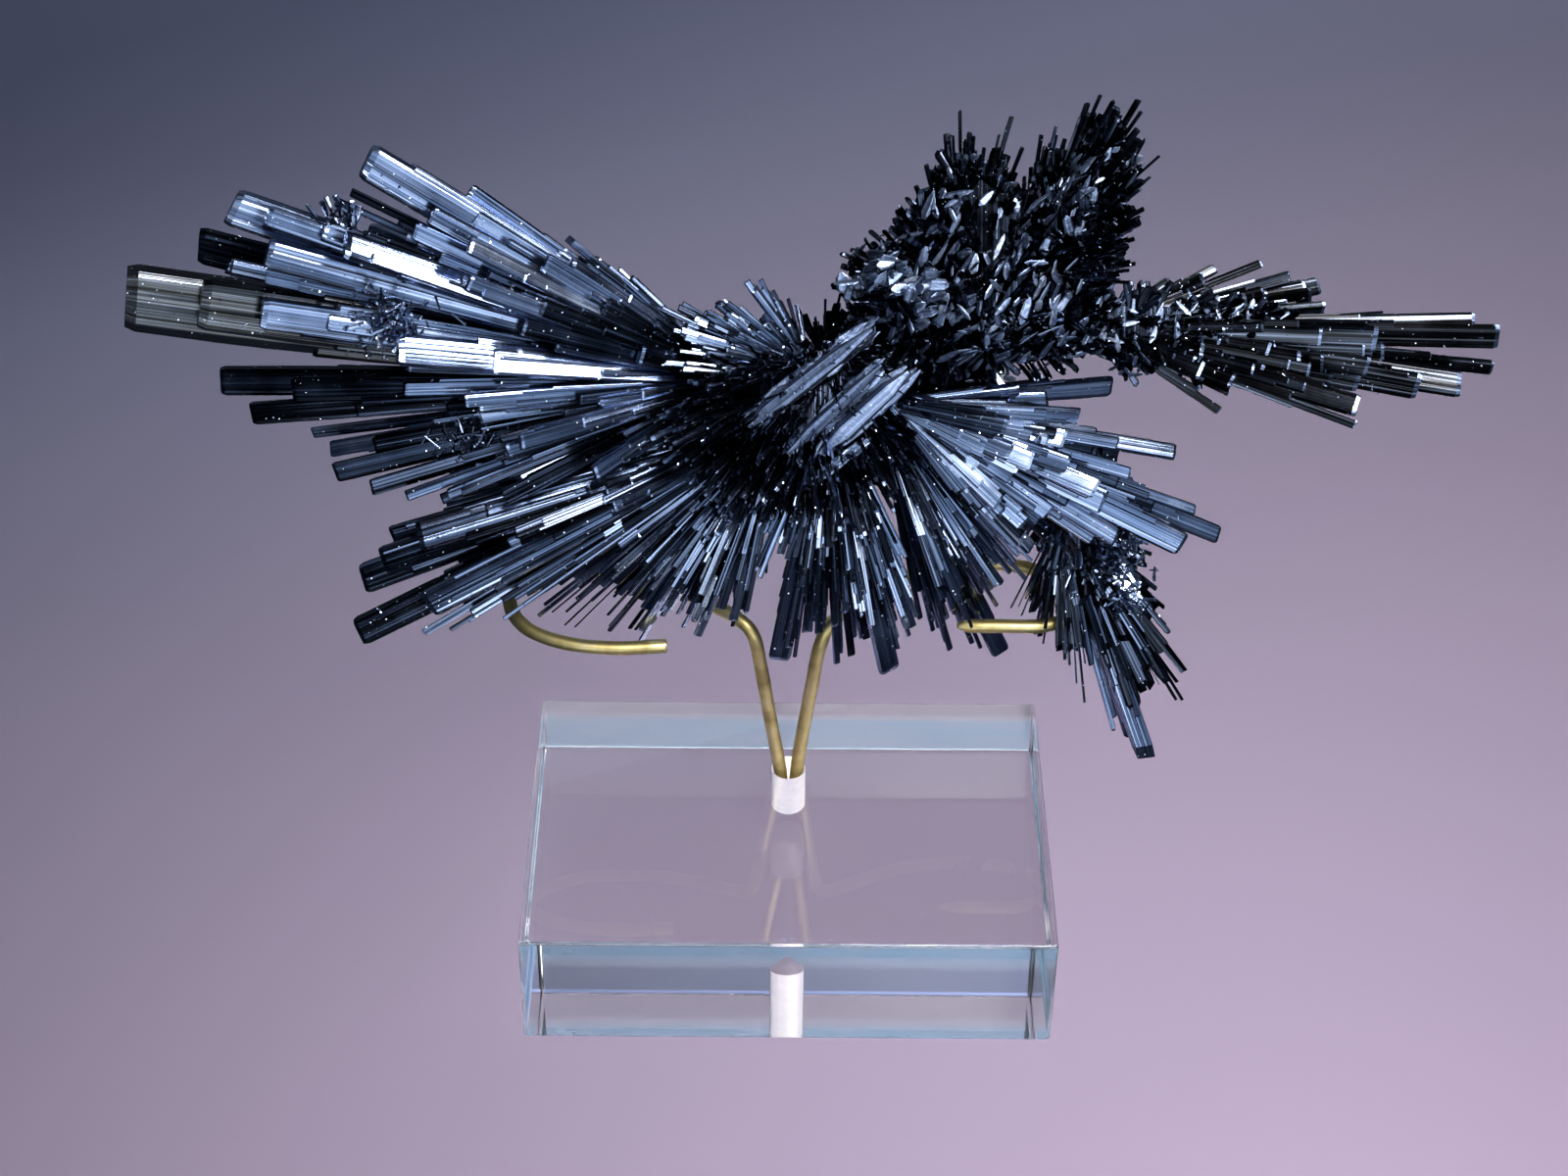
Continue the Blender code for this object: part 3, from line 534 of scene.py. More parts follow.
def spray(batch, fan, look, looks=(), *, fill, hairs, fill_width, back=None, cap_look=None, end="cut",
          root_share=0.5, bristles=0):
    """A fan: its listed crystals, the ones behind them, and thinner, shorter ones in between."""
    focus = np.array(fan[0], float)
    base = LOOKS[look]
    for number, (*place, width) in enumerate(fan[1]):
        own = LOOKS[looks[number]] if number in looks else toned(base, TONE_SPREAD)
        tip = clear(focus, np.array(place, float), width)
        if bristles and width < BRUSHED_BELOW:
            brush(batch, focus, tip, width, own, bristles)
        else:
            plank(batch, focus, tip, width, own, PLATES, False, root_share, cap_look, end)
        if back is not None and width >= BACKED_FROM:
            reach = np.array(place, float) - focus
            droop = 14.0 * np.clip((reach[2] + 10.0) / 30.0, 0.0, 1.0)
            lean = np.array((0.8 * reach[0], back + 0.3 * abs(reach[1]), 0.8 * reach[2] - droop))
            plank(batch, focus, clear(focus, focus + lean, width), width, base, 1.0, True)
    reaches = in_order(focus, fan[1])
    for number in range(int(fill * len(reaches))):
        axis, length = between(reaches, rng.beta(3.2, 1.6) * 0.6 + 0.36)
        if number % 3 == 0:
            axis = unit(axis - np.array((0.0, rng.uniform(0.0, 0.2), 0.0)))
            length *= rng.uniform(0.5, 0.95)
        elif back is not None and number % 3 == 1:
            axis = unit(axis + np.array((0.0, rng.uniform(0.1, 0.35), 0.0)))
            length *= 0.8
        width = rng.uniform(*fill_width)
        plank(batch, focus, clear(focus, focus + axis * length, width), width, toned(base, 2.0 * TONE_SPREAD),
              FILL_PLATES, number % 3 == 1, root_share, cap_look, end)
    for number in range(int(hairs * len(reaches))):
        axis, length = between(reaches, rng.uniform(0.3, 0.85))
        width = rng.uniform(0.25, 0.6)
        tip = focus + axis * length + rng.normal(0.0, 1.2, 3)
        needle(batch, focus, clear(focus, tip, width), width, (rng.uniform(0.1, 0.9), base.cast, 0.0))


def druse(batch, centre, count, length, width, spread, aim=(0.0, -0.7, 0.3)):
    """A tuft of small crystals that point every way out of one place."""
    centre = np.array(centre, float)
    for _ in range(count):
        axis = unit(rng.normal(0.0, 0.7, 3) + aim)
        start = centre + rng.normal(0.0, spread, 3) * (1.0, 0.4, 1.0)
        needle(batch, start, start + axis * rng.uniform(*length), rng.uniform(*width),
               (rng.uniform(0.2, 1.0), 0.0, 0.1))


# ---------------------------------------------------------------- bodies and what grows on them

def pillow(body, shrink, inset):
    """The faces of a body as triangles (corner, xyz), front ones first."""
    centre, front, back, rim = body
    centre = np.array(centre, float)
    edge = np.array([(x, centre[1], z) for x, z in rim], float)
    edge = centre + (edge - centre) * shrink
    following = np.roll(edge, -1, axis=0)
    tips = np.array([(centre[0], front + inset, centre[2]), (centre[0], back - inset, centre[2])])
    near = np.stack([np.broadcast_to(tips[0], edge.shape), edge, following], axis=1)
    far = np.stack([np.broadcast_to(tips[1], edge.shape), following, edge], axis=1)
    return near, far


def add_body(batch, body, shrink, inset):
    """A body's near-black filler solid: painted shade in the gaps between the crystals that grow on it."""
    near, far = pillow(body, shrink, inset)
    sides = len(near)
    points = np.concatenate([near[:1, 0], far[:1, 0], near[:, 1]])
    ring = 2 + np.arange(sides)
    following = np.roll(ring, -1)
    faces = np.concatenate([np.stack([np.full(sides, 0), ring, following], axis=-1),
                            np.stack([np.full(sides, 1), following, ring], axis=-1)])
    batch.points.append(points)
    batch.corners.append(faces.ravel() + batch.total)
    batch.sizes.append(np.full(len(faces), 3))
    batch.grain.append(points[faces.ravel()][:, [0, 2]])
    # Tone zero gives the near-black painted shade.
    batch.looks.append(np.zeros((len(faces), 3)))
    batch.total += len(points)


def on_body(body, count, shrink):
    """Random places on a body's faces, with the outward directions."""
    faces = np.concatenate(pillow(body, shrink, 0.6))
    normals = np.cross(faces[:, 1] - faces[:, 0], faces[:, 2] - faces[:, 0])
    areas = np.linalg.norm(normals, axis=1)
    normals /= areas[:, None]
    picks = rng.choice(len(faces), count, p=areas / areas.sum())
    a, b = rng.random((2, count))
    a, b = np.where(a + b > 1.0, 1.0 - a, a), np.where(a + b > 1.0, 1.0 - b, b)
    places = faces[picks, 0] + (faces[picks, 1] - faces[picks, 0]) * a[:, None]
    places += (faces[picks, 2] - faces[picks, 0]) * b[:, None]
    return places, normals[picks]


def thicket(batch, body, count, centre, rise, length, width, look, lift=0.7, end="hip", scatter=0.35, shrink=0.95):
    """Short crystals standing on a body, pointing away from a centre and a little up."""
    look = LOOKS[look]
    places, normals = on_body(body, count, shrink)
    for place, normal in zip(places, normals):
        flow = unit(place - np.array(centre, float)) * 0.8 + np.array((0.0, 0.0, rise))
        axis = unit(normal * lift + flow + rng.normal(0.0, scatter, 3))
        w = rng.uniform(*width)
        across, face = facing(axis, place, look)
        blade(batch, place - normal * 0.8, axis, across, face, rng.uniform(*length), w, w * rng.uniform(0.3, 0.5),
              varied(look, 0.15), 6, 0.6, end=end)


def scales(batch, body, count, length, width, look, lean=(0.5, 0.0, 0.8)):
    """Lens-shaped crystals lying flat against a body."""
    look = LOOKS[look]
    places, normals = on_body(body, count, 0.97)
    for place, normal in zip(places, normals):
        axis = np.array(lean) + rng.normal(0.0, 0.5, 3)
        axis = unit(axis - normal * np.dot(axis, normal) * 0.8)
        w = rng.uniform(*width)
        size = max(rng.uniform(*length), 1.3 * w)
        face = square_to(unit(normal + rng.normal(0.0, 0.25, 3)), axis)
        across = np.cross(axis, face)
        lens(batch, place + normal * rng.uniform(0.2, 1.6), axis, across, face, size, w, varied(look, 0.15))


def lens(batch, middle, axis, across, face, size, width, look, depth=0.6):
    """Add one flat, pointed crystal with bevelled edges; its depth is a share of half its width."""
    stations = np.array([0.0, rng.uniform(0.15, 0.3), rng.uniform(0.65, 0.85), 1.0])
    wide = np.array([0.2, 1.0, 0.85, 0.2]) * width
    outline = outline_of(6, 0.0)
    rings = (middle + (stations[:, None, None] - 0.5) * size * axis
             + (wide[:, None] * outline[:, 0] + (stations * rng.normal(0.0, 0.3) * width)[:, None])[..., None] * across
             + (wide[:, None] * outline[:, 1] * 0.5 * depth)[..., None] * face)
    batch.prism(rings, np.full(6, 0.3 * width), stations * size, look)


def chunks(batch, centre, count, length, width, look, spread):
    """A heap of blocky crystals around one place."""
    look = LOOKS[look]
    for _ in range(count):
        axis = unit(rng.normal(0.0, 0.6, 3) + (0.8, 0.0, 0.3))
        face = square_to(unit(rng.normal(0.0, 0.3, 3) + (0.0, -0.8, 0.6)), axis)
        w = rng.uniform(*width)
        place = np.array(centre, float) + rng.normal(0.0, spread, 3) * (1.0, 0.4, 0.8)
        lens(batch, place, axis, np.cross(axis, face), face, rng.uniform(*length), w, varied(look, 0.12))


def slab(batch, low, high, width):
    """A thick crusted blade built of overlapping lens-shaped crystals, sprinkled with tiny ones."""
    axis, length = split(high - low)
    look = LOOKS["slab"]
    across, face = facing(axis, 0.5 * (low + high), look)
    lens(batch, 0.5 * (low + high), axis, across, face, length, 0.8 * width, look[:3], 1.2)
    for _ in range(int(3.5 * length)):
        share = rng.uniform(0.08, 0.92)
        side = rng.uniform(-0.4, 0.4) * width
        lean = unit(axis + rng.normal(0.0, 0.08, 3))
        flat = square_to(unit(face + rng.normal(0.0, 0.12, 3)), lean)
        place = low + axis * share * length + across * side + face * rng.uniform(0.15, 0.3) * width
        lens(batch, place, lean, np.cross(lean, flat), flat, rng.uniform(0.8, 2.2) * width,
             width * rng.uniform(0.2, 0.4), varied(look, 0.15))
        frost_places.append((place + face * 0.1 * width, face))


def frosting(batch, limit):
    """Tiny crystals sitting on the flat faces of the blades."""
    step = max(len(frost_places) / limit, 1.0)
    for number in range(int(len(frost_places) / step)):
        place, normal = frost_places[int(number * step)]
        axis = unit(normal * 0.5 + rng.normal(0.0, 0.6, 3))
        size = rng.uniform(0.2, 0.6)
        needle(batch, place - axis * 0.3 * size, place + axis * 0.7 * size, rng.uniform(0.12, 0.26),
               (rng.uniform(0.6, 1.0), 0.0, 0.1))


# ---------------------------------------------------------------- materials

class Surface:
    """A Principled material whose nodes are added, set and linked in one call each."""

    def __init__(self, name):
        self.material = bpy.data.materials.new(name)
        self.material.use_nodes = True
        self.tree = self.material.node_tree
        self.place = self.node("TexCoord").outputs["Object"]

    def feed(self, node, inputs):
        """Set or link a node's inputs."""
        for key, value in inputs.items():
            if isinstance(value, bpy.types.NodeSocket):
                self.tree.links.new(value, node.inputs[key])
            else:
                node.inputs[key].default_value = value

    def node(self, kind, inputs=None, **settings):
        """Add a node, set its properties, and feed its inputs."""
        node = self.tree.nodes.new("ShaderNode" + kind)
        for key, value in settings.items():
            setattr(node, key, value)
        self.feed(node, inputs or {})
        return node

    def math(self, operation, first, second):
        """A Math node's output."""
        return self.node("Math", {0: first, 1: second}, operation=operation).outputs[0]

    def vector(self, operation, inputs):
        """A Vector Math node's output."""
        return self.node("VectorMath", inputs, operation=operation).outputs[0]

    def mapped(self, vector, scale, rotation=(0.0, 0.0, 0.0)):
        """The vector turned and scaled."""
        return self.node("Mapping", {"Vector": vector, "Scale": scale, "Rotation": rotation}).outputs[0]

    def noise(self, vector, scale, detail, roughness=0.5, dimensions="3D"):
        """A Noise Texture's value."""
        inputs = {"Vector": vector, "Scale": scale, "Detail": detail, "Roughness": roughness}
        return self.node("TexNoise", inputs, noise_dimensions=dimensions).outputs["Fac"]

    def ranged(self, value, low, high, to_low=0.0, to_high=1.0):
        """The value moved from one range to another."""
        inputs = {"Value": value, "From Min": low, "From Max": high, "To Min": to_low, "To Max": to_high}
        return self.node("MapRange", inputs).outputs[0]

    def mix(self, factor, first, second):
        """A colour between two."""
        return self.node("Mix", {0: factor, 6: first, 7: second}, data_type="RGBA").outputs[2]

    def ramp(self, factor, stops):
        """A Color Ramp's colour, from (position, colour) stops."""
        node = self.node("ValToRGB", {"Fac": factor})
        band = node.color_ramp
        while len(band.elements) < len(stops):
            band.elements.new(0.5)
        for element, (position, colour) in zip(band.elements, stops):
            element.position = position
            element.color = (*colour, 1.0)
        return node.outputs["Color"]

    def bump(self, height, strength, distance, **inputs):
        """A Bump node's normal."""
        return self.node("Bump", {"Height": height, "Strength": strength, "Distance": distance, **inputs}).outputs[0]

    def finish(self, inputs):
        """The material, with the shader's inputs fed."""
        self.feed(self.tree.nodes["Principled BSDF"], inputs)
        return self.material


def stibnite_material():
    """Metallic lead-grey crystal with fine lengthwise striations, tarnish and sparkling flecks."""
    surface = Surface("stibnite")
    grain = surface.node("UVMap", uv_map="grain").outputs["UV"]
    look = surface.node("Attribute", attribute_name="look").outputs["Vector"]
    tone, tint, dust = surface.node("SeparateXYZ", {"Vector": look}).outputs
    fine, broad = (surface.noise(surface.mapped(grain, (across, 0.02, 1.0)), 1.0, 1.0, 0.6, "2D")
                   for across in (3.2, 0.8))
    patches = surface.noise(surface.place, 160.0, 3.0)
    level = tone
    for pattern, strength in ((broad, 0.8), (fine, 0.9), (patches, 0.35)):
        swing = surface.math("MULTIPLY", surface.math("SUBTRACT", pattern, 0.5), strength)
        level = surface.math("ADD", level, swing)
    metal = surface.mix(tint, surface.ramp(level, STEEL_STOPS), surface.ramp(level, OLIVE_STOPS))
    cells = surface.node("TexVoronoi", {"Vector": surface.place, "Scale": 1200.0, "Randomness": 1.0}).outputs
    speck = surface.math("LESS_THAN", cells["Distance"], 0.12)
    speck = surface.math("MULTIPLY", speck, surface.math("GREATER_THAN", patches, 0.42))
    rough = surface.math("ADD", surface.ranged(patches, 0.3, 0.7, 0.12, 0.26), surface.math("MULTIPLY", dust, 0.3))
    height = surface.math("ADD", fine, surface.math("MULTIPLY", broad, 0.6))
    grit = surface.noise(surface.place, 1500.0, 3.0)
    crust = surface.bump(grit, surface.math("POWER", dust, 3.0), 0.0002)
    striae = surface.bump(height, 0.7, 0.00004, Normal=crust)
    tilt = surface.vector("SUBTRACT", {0: cells["Color"], 1: (0.5, 0.5, 0.5)})
    tilt = surface.vector("SCALE", {0: tilt, 3: surface.math("MULTIPLY", speck, 1.4)})
    normal = surface.vector("NORMALIZE", {0: surface.vector("ADD", {0: striae, 1: tilt})})
    return surface.finish({"Base Color": surface.mix(speck, metal, SPECK_COLOUR), "Metallic": 1.0,
                           "Roughness": rough, "Normal": normal})


def brass_material():
    """Satin brass rod with a little dull tarnish."""
    surface = Surface("brass")
    blotches = surface.noise(surface.place, 260.0, 4.0)
    fine = surface.noise(surface.place, 2600.0, 2.0)
    return surface.finish({"Base Color": surface.ramp(blotches, BRASS_STOPS), "Metallic": 1.0,
                           "Roughness": surface.ranged(blotches, 0.3, 0.7, 0.5, 0.36),
                           "Normal": surface.bump(fine, 0.3, 0.00004)})


def acrylic_material():
    """Clear polished acrylic with the faintest cool cast and a few fine scratches."""
    surface = Surface("clear_acrylic")
    scratches = surface.noise(surface.mapped(surface.place, (60.0, 2500.0, 60.0), (0.0, 0.0, 0.5)), 1.0, 2.0)
    return surface.finish({"Base Color": (0.99, 0.995, 1.0, 1.0), "Transmission Weight": 1.0, "IOR": ACRYLIC_IOR,
                           "Roughness": 0.0, "Normal": surface.bump(scratches, 0.05, 0.00001)})


def painted_cool_light_material():
    """The block's back face: faintly rough acrylic whose lower part has a blue diffuse colour and less transmission, a
    mottled painted cool light.
    """
    surface = Surface("painted_cool_light_acrylic")
    mottling = surface.noise(surface.mapped(surface.place, (60.0, 60.0, 260.0)), 1.0, 4.0, 0.6)
    height = surface.node("SeparateXYZ", {"Vector": surface.place}).outputs["Z"]
    height_fade = surface.ranged(height, *PAINTED_COOL_LIGHT_HEIGHTS)
    cool_light_fade = surface.math("ADD", height_fade, surface.math("MULTIPLY", mottling, 0.3))
    return surface.finish({"Base Color": surface.ramp(cool_light_fade, PAINTED_COOL_LIGHT_STOPS), "Roughness": 0.15, "IOR": ACRYLIC_IOR,
                           "Transmission Weight": surface.ranged(cool_light_fade, 0.1, 0.9, 0.62, 0.94)})


def frosted_material():
    """The drilled wall of the hole: acrylic left white and rough by the drill."""
    surface = Surface("frosted_acrylic")
    swirl = surface.noise(surface.place, 900.0, 3.0)
    return surface.finish({"Base Color": surface.ramp(swirl, FROSTED_STOPS), "Roughness": 0.6, "IOR": ACRYLIC_IOR,
                           "Transmission Weight": 0.1})


def floor_material():
    """Pale lilac-grey studio paper with painted light falloff on a slant: brightest a little behind the front, with
    painted shade deepening and turning bluer towards the back and the left.
    """
    surface = Surface("studio_floor")
    side, depth = surface.node("SeparateXYZ", {"Vector": surface.place}).outputs[:2]
    depth = surface.math("SUBTRACT", depth, surface.math("MULTIPLY", side, FLOOR_FALLOFF_SLANT))
    along = surface.ranged(depth, *FLOOR_FALLOFF_DEPTHS)
    return surface.finish({"Base Color": surface.ramp(along, FLOOR_PAINTED_FALLOFF_STOPS), "Roughness": 0.8})


# ---------------------------------------------------------------- the camera, the light and the floor

def add_camera():
    """The camera at the photograph's viewing angle."""
    data = bpy.data.cameras.new("camera")
    data.lens, data.sensor_width = CAMERA_LENS, CAMERA_SENSOR
    data.clip_start = 0.01
    camera = add_object("camera", data)
    pitch, yaw, roll = (math.radians(angle) for angle in CAMERA_PITCH_YAW_ROLL)
    forward = Vector((math.sin(yaw) * math.cos(pitch), math.cos(yaw) * math.cos(pitch), -math.sin(pitch)))
    level = Vector((math.cos(yaw), -math.sin(yaw), 0.0))
    raised = level.cross(forward)
    right = level * math.cos(roll) + raised * math.sin(roll)
    up = raised * math.cos(roll) - level * math.sin(roll)
    turn = Matrix((right, up, -forward)).transposed()
    camera.matrix_world = Matrix.Translation(CAMERA_PLACE) @ turn.to_4x4()
    bpy.context.scene.camera = camera


def add_light(name, place, aim, size, power, colour, glossy=True, spread=180.0):
    """A rectangular light that points at a place, mirrored by the crystals or only shed on plain surfaces."""
    data = bpy.data.lights.new(name, "AREA")
    data.shape = "RECTANGLE"
    data.size, data.size_y = size
    data.energy = power
    data.color = colour
    data.spread = math.radians(spread)
    light = add_object(name, data)
    light.location = place
    light.visible_transmission = glossy
    light.visible_glossy = glossy
    light.visible_diffuse = not glossy
    light.rotation_euler = (Vector(aim) - Vector(place)).to_track_quat("-Z", "Y").to_euler()
    return light


def add_stage():
    """A pale floor that curves up at the back, soft lights and a dim room."""
    width, front, bend, radius, top, drop = 2.4, -1.2, 0.9, 0.5, 1.6, 0.0002
    line = [(front, 0.0), (bend, 0.0)]
    line += [(bend + radius * math.sin(a), radius - radius * math.cos(a)) for a in np.linspace(0.1, math.pi / 2, 12)]
    line.append((bend + radius, top))
    vertices = [(x, y, z - drop) for y, z in line for x in (-width, width)]
    faces = [(2 * i, 2 * i + 1, 2 * i + 3, 2 * i + 2) for i in range(len(line) - 1)]
    mesh = bpy.data.meshes.new("studio_floor")
    mesh.from_pydata(vertices, [], faces)
    mesh.materials.append(floor_material())
    floor = add_object("studio_floor", mesh)
    floor.visible_glossy = False

    world = bpy.data.worlds.new("room")
    world.use_nodes = True
    background = world.node_tree.nodes["Background"]
    background.inputs["Color"].default_value = (0.5, 0.6, 0.9, 1.0)
    background.inputs["Strength"].default_value = 0.08
    bpy.context.scene.world = world
    aim = (0.0, 0.0, 0.09)
    add_light("key_strip", KEY_PLACES[0], aim, (0.5, 0.08), 9.0, WARM_WHITE)
    add_light("key_right", KEY_PLACES[1], aim, (0.3, 0.08), 5.0, WARM_WHITE)
    add_light("softbox", SOFTBOX_PLACES[0], aim, (1.0, 0.5), 1.65, SOFTBOX_BLUE)
    add_light("softbox_right", SOFTBOX_PLACES[1], aim, (0.45, 0.5), 0.42, SOFTBOX_BLUE)
    add_light("low_card", (0.05, -0.5, 0.05), aim, (0.6, 0.18), 1.1, (0.9, 0.95, 1.0))
    floor_light = add_light("floor_light", (0.089, -0.572, 0.5), (0.082, -0.09, 0.0), (0.05, 0.05), 0.96,
                            (1.0, 0.95, 0.99), False, 47.0)
    floor_light.data.use_shadow = False
    back = add_light("back_card", (-0.35, 0.8, 0.4), aim, (1.2, 0.7), 1.05, (0.75, 0.87, 1.0))
    back.visible_transmission = False
    add_light("back_wash", (0.6, 0.8, 0.9), (0.5, 1.4, 0.6), (0.8, 0.4), 39.0, (0.9, 0.95, 1.0), False)


# ---------------------------------------------------------------- the block and the wires

def make_block(clear_material, frosted, painted_back_face):
    """The clear base block with its drilled hole."""
    build = bmesh.new()
    for vertex in bmesh.ops.create_cube(build, size=1.0)["verts"]:
        x, y, z = vertex.co
        vertex.co = Vector((x * BLOCK_SIZE[0], y * BLOCK_SIZE[1], (z + 0.5) * BLOCK_SIZE[2])) * MM
    bmesh.ops.bevel(build, geom=list(build.edges), offset=BLOCK_EDGE_RADIUS * MM, affect="EDGES", segments=4,
                    profile=0.5)
    body = bpy.data.meshes.new("block_body")
    build.to_mesh(body)
    build.free()
    sides = 64
    cosines, sines = circle(sides)
    ring = np.stack([cosines * HOLE_RADIUS, HOLE_CENTRE_Y + sines * HOLE_RADIUS], axis=-1)
    points = [(x, y, z) for z in (HOLE_SHOULDER_Z, BLOCK_SIZE[2] + 2.0) for x, y in ring]
    points.append((0.0, HOLE_CENTRE_Y, HOLE_TIP_Z))
    faces = [tuple(range(sides, 2 * sides))]
    for i in range(sides):
        j = (i + 1) % sides
        faces += [(i, j, sides + j, sides + i), (j, i, 2 * sides)]
    drill_mesh = bpy.data.meshes.new("drill")
    drill_mesh.from_pydata([Vector(point) * MM for point in points], [], faces)
    pair = [add_object("block_blank", body), add_object("drill", drill_mesh)]
    cut = pair[0].modifiers.new("hole", "BOOLEAN")
    cut.operation = "DIFFERENCE"
    cut.object = pair[1]
    mesh = bpy.data.meshes.new_from_object(pair[0].evaluated_get(bpy.context.evaluated_depsgraph_get()))
    for shell in pair:
        bpy.data.objects.remove(shell)
    block = add_piece("acrylic_block_clear", mesh, clear_material, "acrylic_block")
    mesh.materials.append(frosted)
    mesh.materials.append(painted_back_face)
    hole = (HOLE_RADIUS + 0.1) * MM
    for face in mesh.polygons:
        face.use_smooth = True
        x, y, z = face.center
        inside = math.hypot(x, y - HOLE_CENTRE_Y * MM) < hole and z < (BLOCK_SIZE[2] - 0.1) * MM and z > 0.001
        # The hole's wall takes the frosted material, and the back face takes the painted cool light.
        face.material_index = 1 if inside else 2 if face.normal.y > 0.9 and y > 0.025 else 0
    mesh.set_sharp_from_angle(angle=BLOCK_CREASE)
    normals = block.modifiers.new("normals", "WEIGHTED_NORMAL")
    normals.keep_sharp = True
    block.visible_shadow = False
    block.visible_diffuse = False


def make_wire(name, node, route, pointed, material):
    """A bent brass rod swept along its route, cut rough or pinched to a point at its free end."""
    sides = 24
    cosines, sines = circle(sides)
    tangents = np.gradient(route, axis=0)
    tangents /= np.linalg.norm(tangents, axis=1)[:, None]
    rings = []
    normal = np.array((0.0, -1.0, 0.0))
    from_end = np.cumsum(np.linalg.norm(np.diff(route[::-1], axis=0), axis=1))
    from_end = np.append(0.0, from_end)[::-1]
    for place, tangent, left in zip(route, tangents, from_end):
        normal = unit(normal - tangent * np.dot(normal, tangent))
        binormal = np.cross(tangent, normal)
        flat, wide = 1.0, 1.0
        if pointed and left < WIRE_POINT_LENGTH:
            flat = 0.3 + 0.7 * (left / WIRE_POINT_LENGTH) ** 0.8
            wide = 0.35 + 0.65 * min(left / (0.5 * WIRE_POINT_LENGTH), 1.0)
        radial = cosines[:, None] * normal * wide + sines[:, None] * binormal * flat
        rings.append(place + radial * WIRE_RADIUS)
    rings = np.array(rings)
    if not pointed:
        rings[-1] += (rng.uniform(-0.22, 0.1, sides))[:, None] * tangents[-1]
    count = len(rings)
    faces = [tuple(range(sides))[::-1], tuple(range((count - 1) * sides, count * sides))]
    for i in range(count - 1):
        for k in range(sides):
            j = (k + 1) % sides
            faces.append((i * sides + k, i * sides + j, (i + 1) * sides + j, (i + 1) * sides + k))
    mesh = bpy.data.meshes.new(name)
    mesh.from_pydata((rings.reshape(-1, 3) * MM).tolist(), [], faces)
    mesh.validate()
    build = bmesh.new()
    build.from_mesh(mesh)
    bmesh.ops.recalc_face_normals(build, faces=build.faces)
    build.to_mesh(mesh)
    build.free()
    for face in mesh.polygons:
        face.use_smooth = len(face.vertices) == 4
    add_piece(name, mesh, material, node)


# ---------------------------------------------------------------- the whole

add_camera()
add_stage()
bpy.context.scene.view_settings.view_transform = "Standard"
stibnite = stibnite_material()
brass = brass_material()
make_block(acrylic_material(), frosted_material(), painted_cool_light_material())
make_wire("wire_left", "brass_wire_left", wire_route(-1, LEFT_WIRE_ROUTE, 10), False, brass)
make_wire("wire_right", "brass_wire_right", wire_route(1, RIGHT_WIRE_ROUTE, 10), True, brass)

left = Crystals()
spray(left, LEFT_FAN, "navy", LEFT_LOOKS, back=17.0, fill=6.0, hairs=7.0, fill_width=(1.0, 3.0))
druse(left, (-51.2, -4.2, 108.8), 170, (1.0, 2.8), (0.3, 0.8), 2.2)
druse(left, (-43.3, 4.6, 84.4), 110, (1.0, 3.2), (0.25, 0.6), 2.2)
druse(left, (-57.0, 1.0, 118.5), 60, (2.0, 4.0), (0.4, 0.9), 1.5, (-0.2, 0.0, 0.9))
left.make("left_fan", stibnite)

lower = Crystals()
spray(lower, LOWER_FAN, "navy", LOWER_LOOKS, back=15.0, fill=34.0, hairs=12.0, fill_width=(0.6, 1.8), bristles=8)
spray(lower, CENTRE_FAN, "steel", CENTRE_LOOKS, back=14.0, fill=44.0, hairs=18.0, fill_width=(0.5, 1.3), bristles=8)
lower.make("lower_fans", stibnite)

lower_right = Crystals()
spray(lower_right, RIGHT_LOWER_FAN, "steel", RIGHT_LOWER_LOOKS, fill=42.0, hairs=14.0, fill_width=(0.5, 1.4),
      bristles=7)
lower_right.make("lower_right_fan", stibnite)

right = Crystals()
spray(right, RIGHT_FAN, "steel", RIGHT_LOOKS, back=15.0, fill=26.0, hairs=14.0, fill_width=(1.3, 3.4))
spray(right, TOP_CLUSTER, "navy", TOP_LOOKS, fill=26.0, hairs=14.0, fill_width=(0.8, 1.9), bristles=5)
for low, high, width in SLABS:
    slab(right, np.array(low, float), np.array(high, float), width)
right.make("right_fan", stibnite)

arm = Crystals()
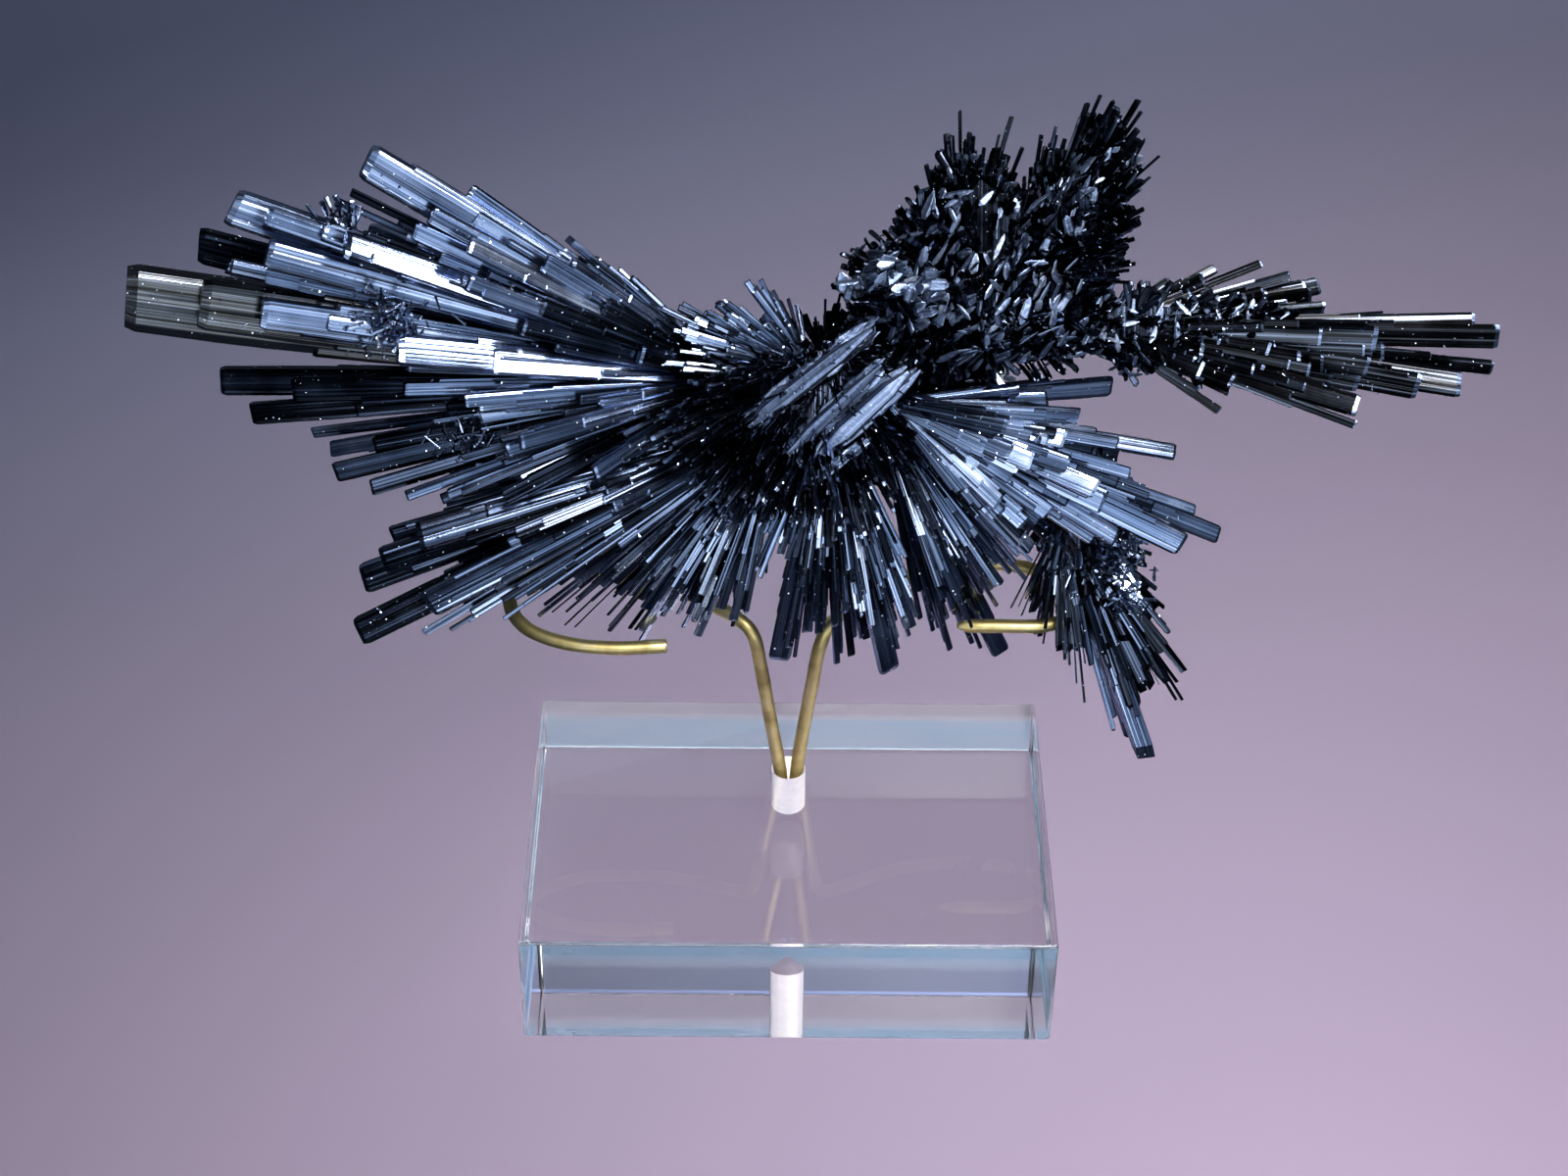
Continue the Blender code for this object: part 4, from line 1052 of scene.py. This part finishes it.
# The arm's crystal ends take the dusty painted-highlight cap look.
spray(arm, RIGHT_ARM, "smoky", back=7.0, fill=9.0, hairs=3.0, fill_width=(1.4, 3.6), cap_look=CAP_DUST_AND_PAINTED_HIGHLIGHT,
      root_share=0.8)
spray(arm, DARK_CLUSTER, "black", DARK_LOOKS, fill=20.0, hairs=14.0, fill_width=(0.9, 2.0), end="chisel", bristles=5)
druse(arm, (45.0, 3.0, 66.0), 90, (1.0, 3.0), (0.4, 0.9), 1.8)
druse(arm, (47.5, 4.8, 57.5), 40, (1.0, 2.6), (0.3, 0.8), 1.2)
arm.make("arm_and_dark_cluster", stibnite)

mound = Crystals()
for ground in GROUNDS:
    add_body(mound, *ground)
spray(mound, LEFT_PEAK, "black", fill=30.0, hairs=12.0, fill_width=(0.4, 1.1), end="chisel", bristles=8)
spray(mound, RIGHT_PEAK, "black", fill=44.0, hairs=12.0, fill_width=(0.4, 1.1), end="chisel", bristles=9)
thicket(mound, MOUND, 900, (25, 10, 100), 0.5, (2.0, 5.0), (0.5, 1.3), "black")
thicket(mound, ARM_BODY, 300, (36, 10, 96), 0.1, (2.0, 5.0), (0.6, 1.3), "black")
thicket(mound, DARK_BODY, 350, (36, 12, 90), -0.2, (2.0, 5.0), (0.5, 1.3), "black")
thicket(mound, SADDLE, 900, (4, 14, 92), 0.0, (6.0, 12.0), (0.3, 0.9), "navy", 0.08, "chisel", 0.1, 0.9)
scales(mound, MOUND, 560, (1.5, 4.2), (0.4, 1.3), "scale")
scales(mound, ARM_BODY, 190, (1.2, 2.8), (0.4, 1.0), "scale", lean=(0.3, 0.0, 0.9))
scales(mound, DARK_BODY, 90, (1.5, 3.2), (0.6, 1.3), "steel", lean=(0.3, 0.0, -0.9))
for place in ((8.0, 3.0, 110.2), (11.5, 0.5, 114.0), (16.5, -0.5, 111.5)):
    chunks(mound, place, 16, (1.6, 3.6), (1.0, 2.0), "chunk", 1.7)
spray(mound, SADDLE_SPIKES, "black", fill=12.0, hairs=10.0, fill_width=(0.3, 0.8), end="chisel")
mound.make("mound", stibnite)

frost = Crystals()
frosting(frost, FROSTING_COUNT)
frost.make("frosting", stibnite)
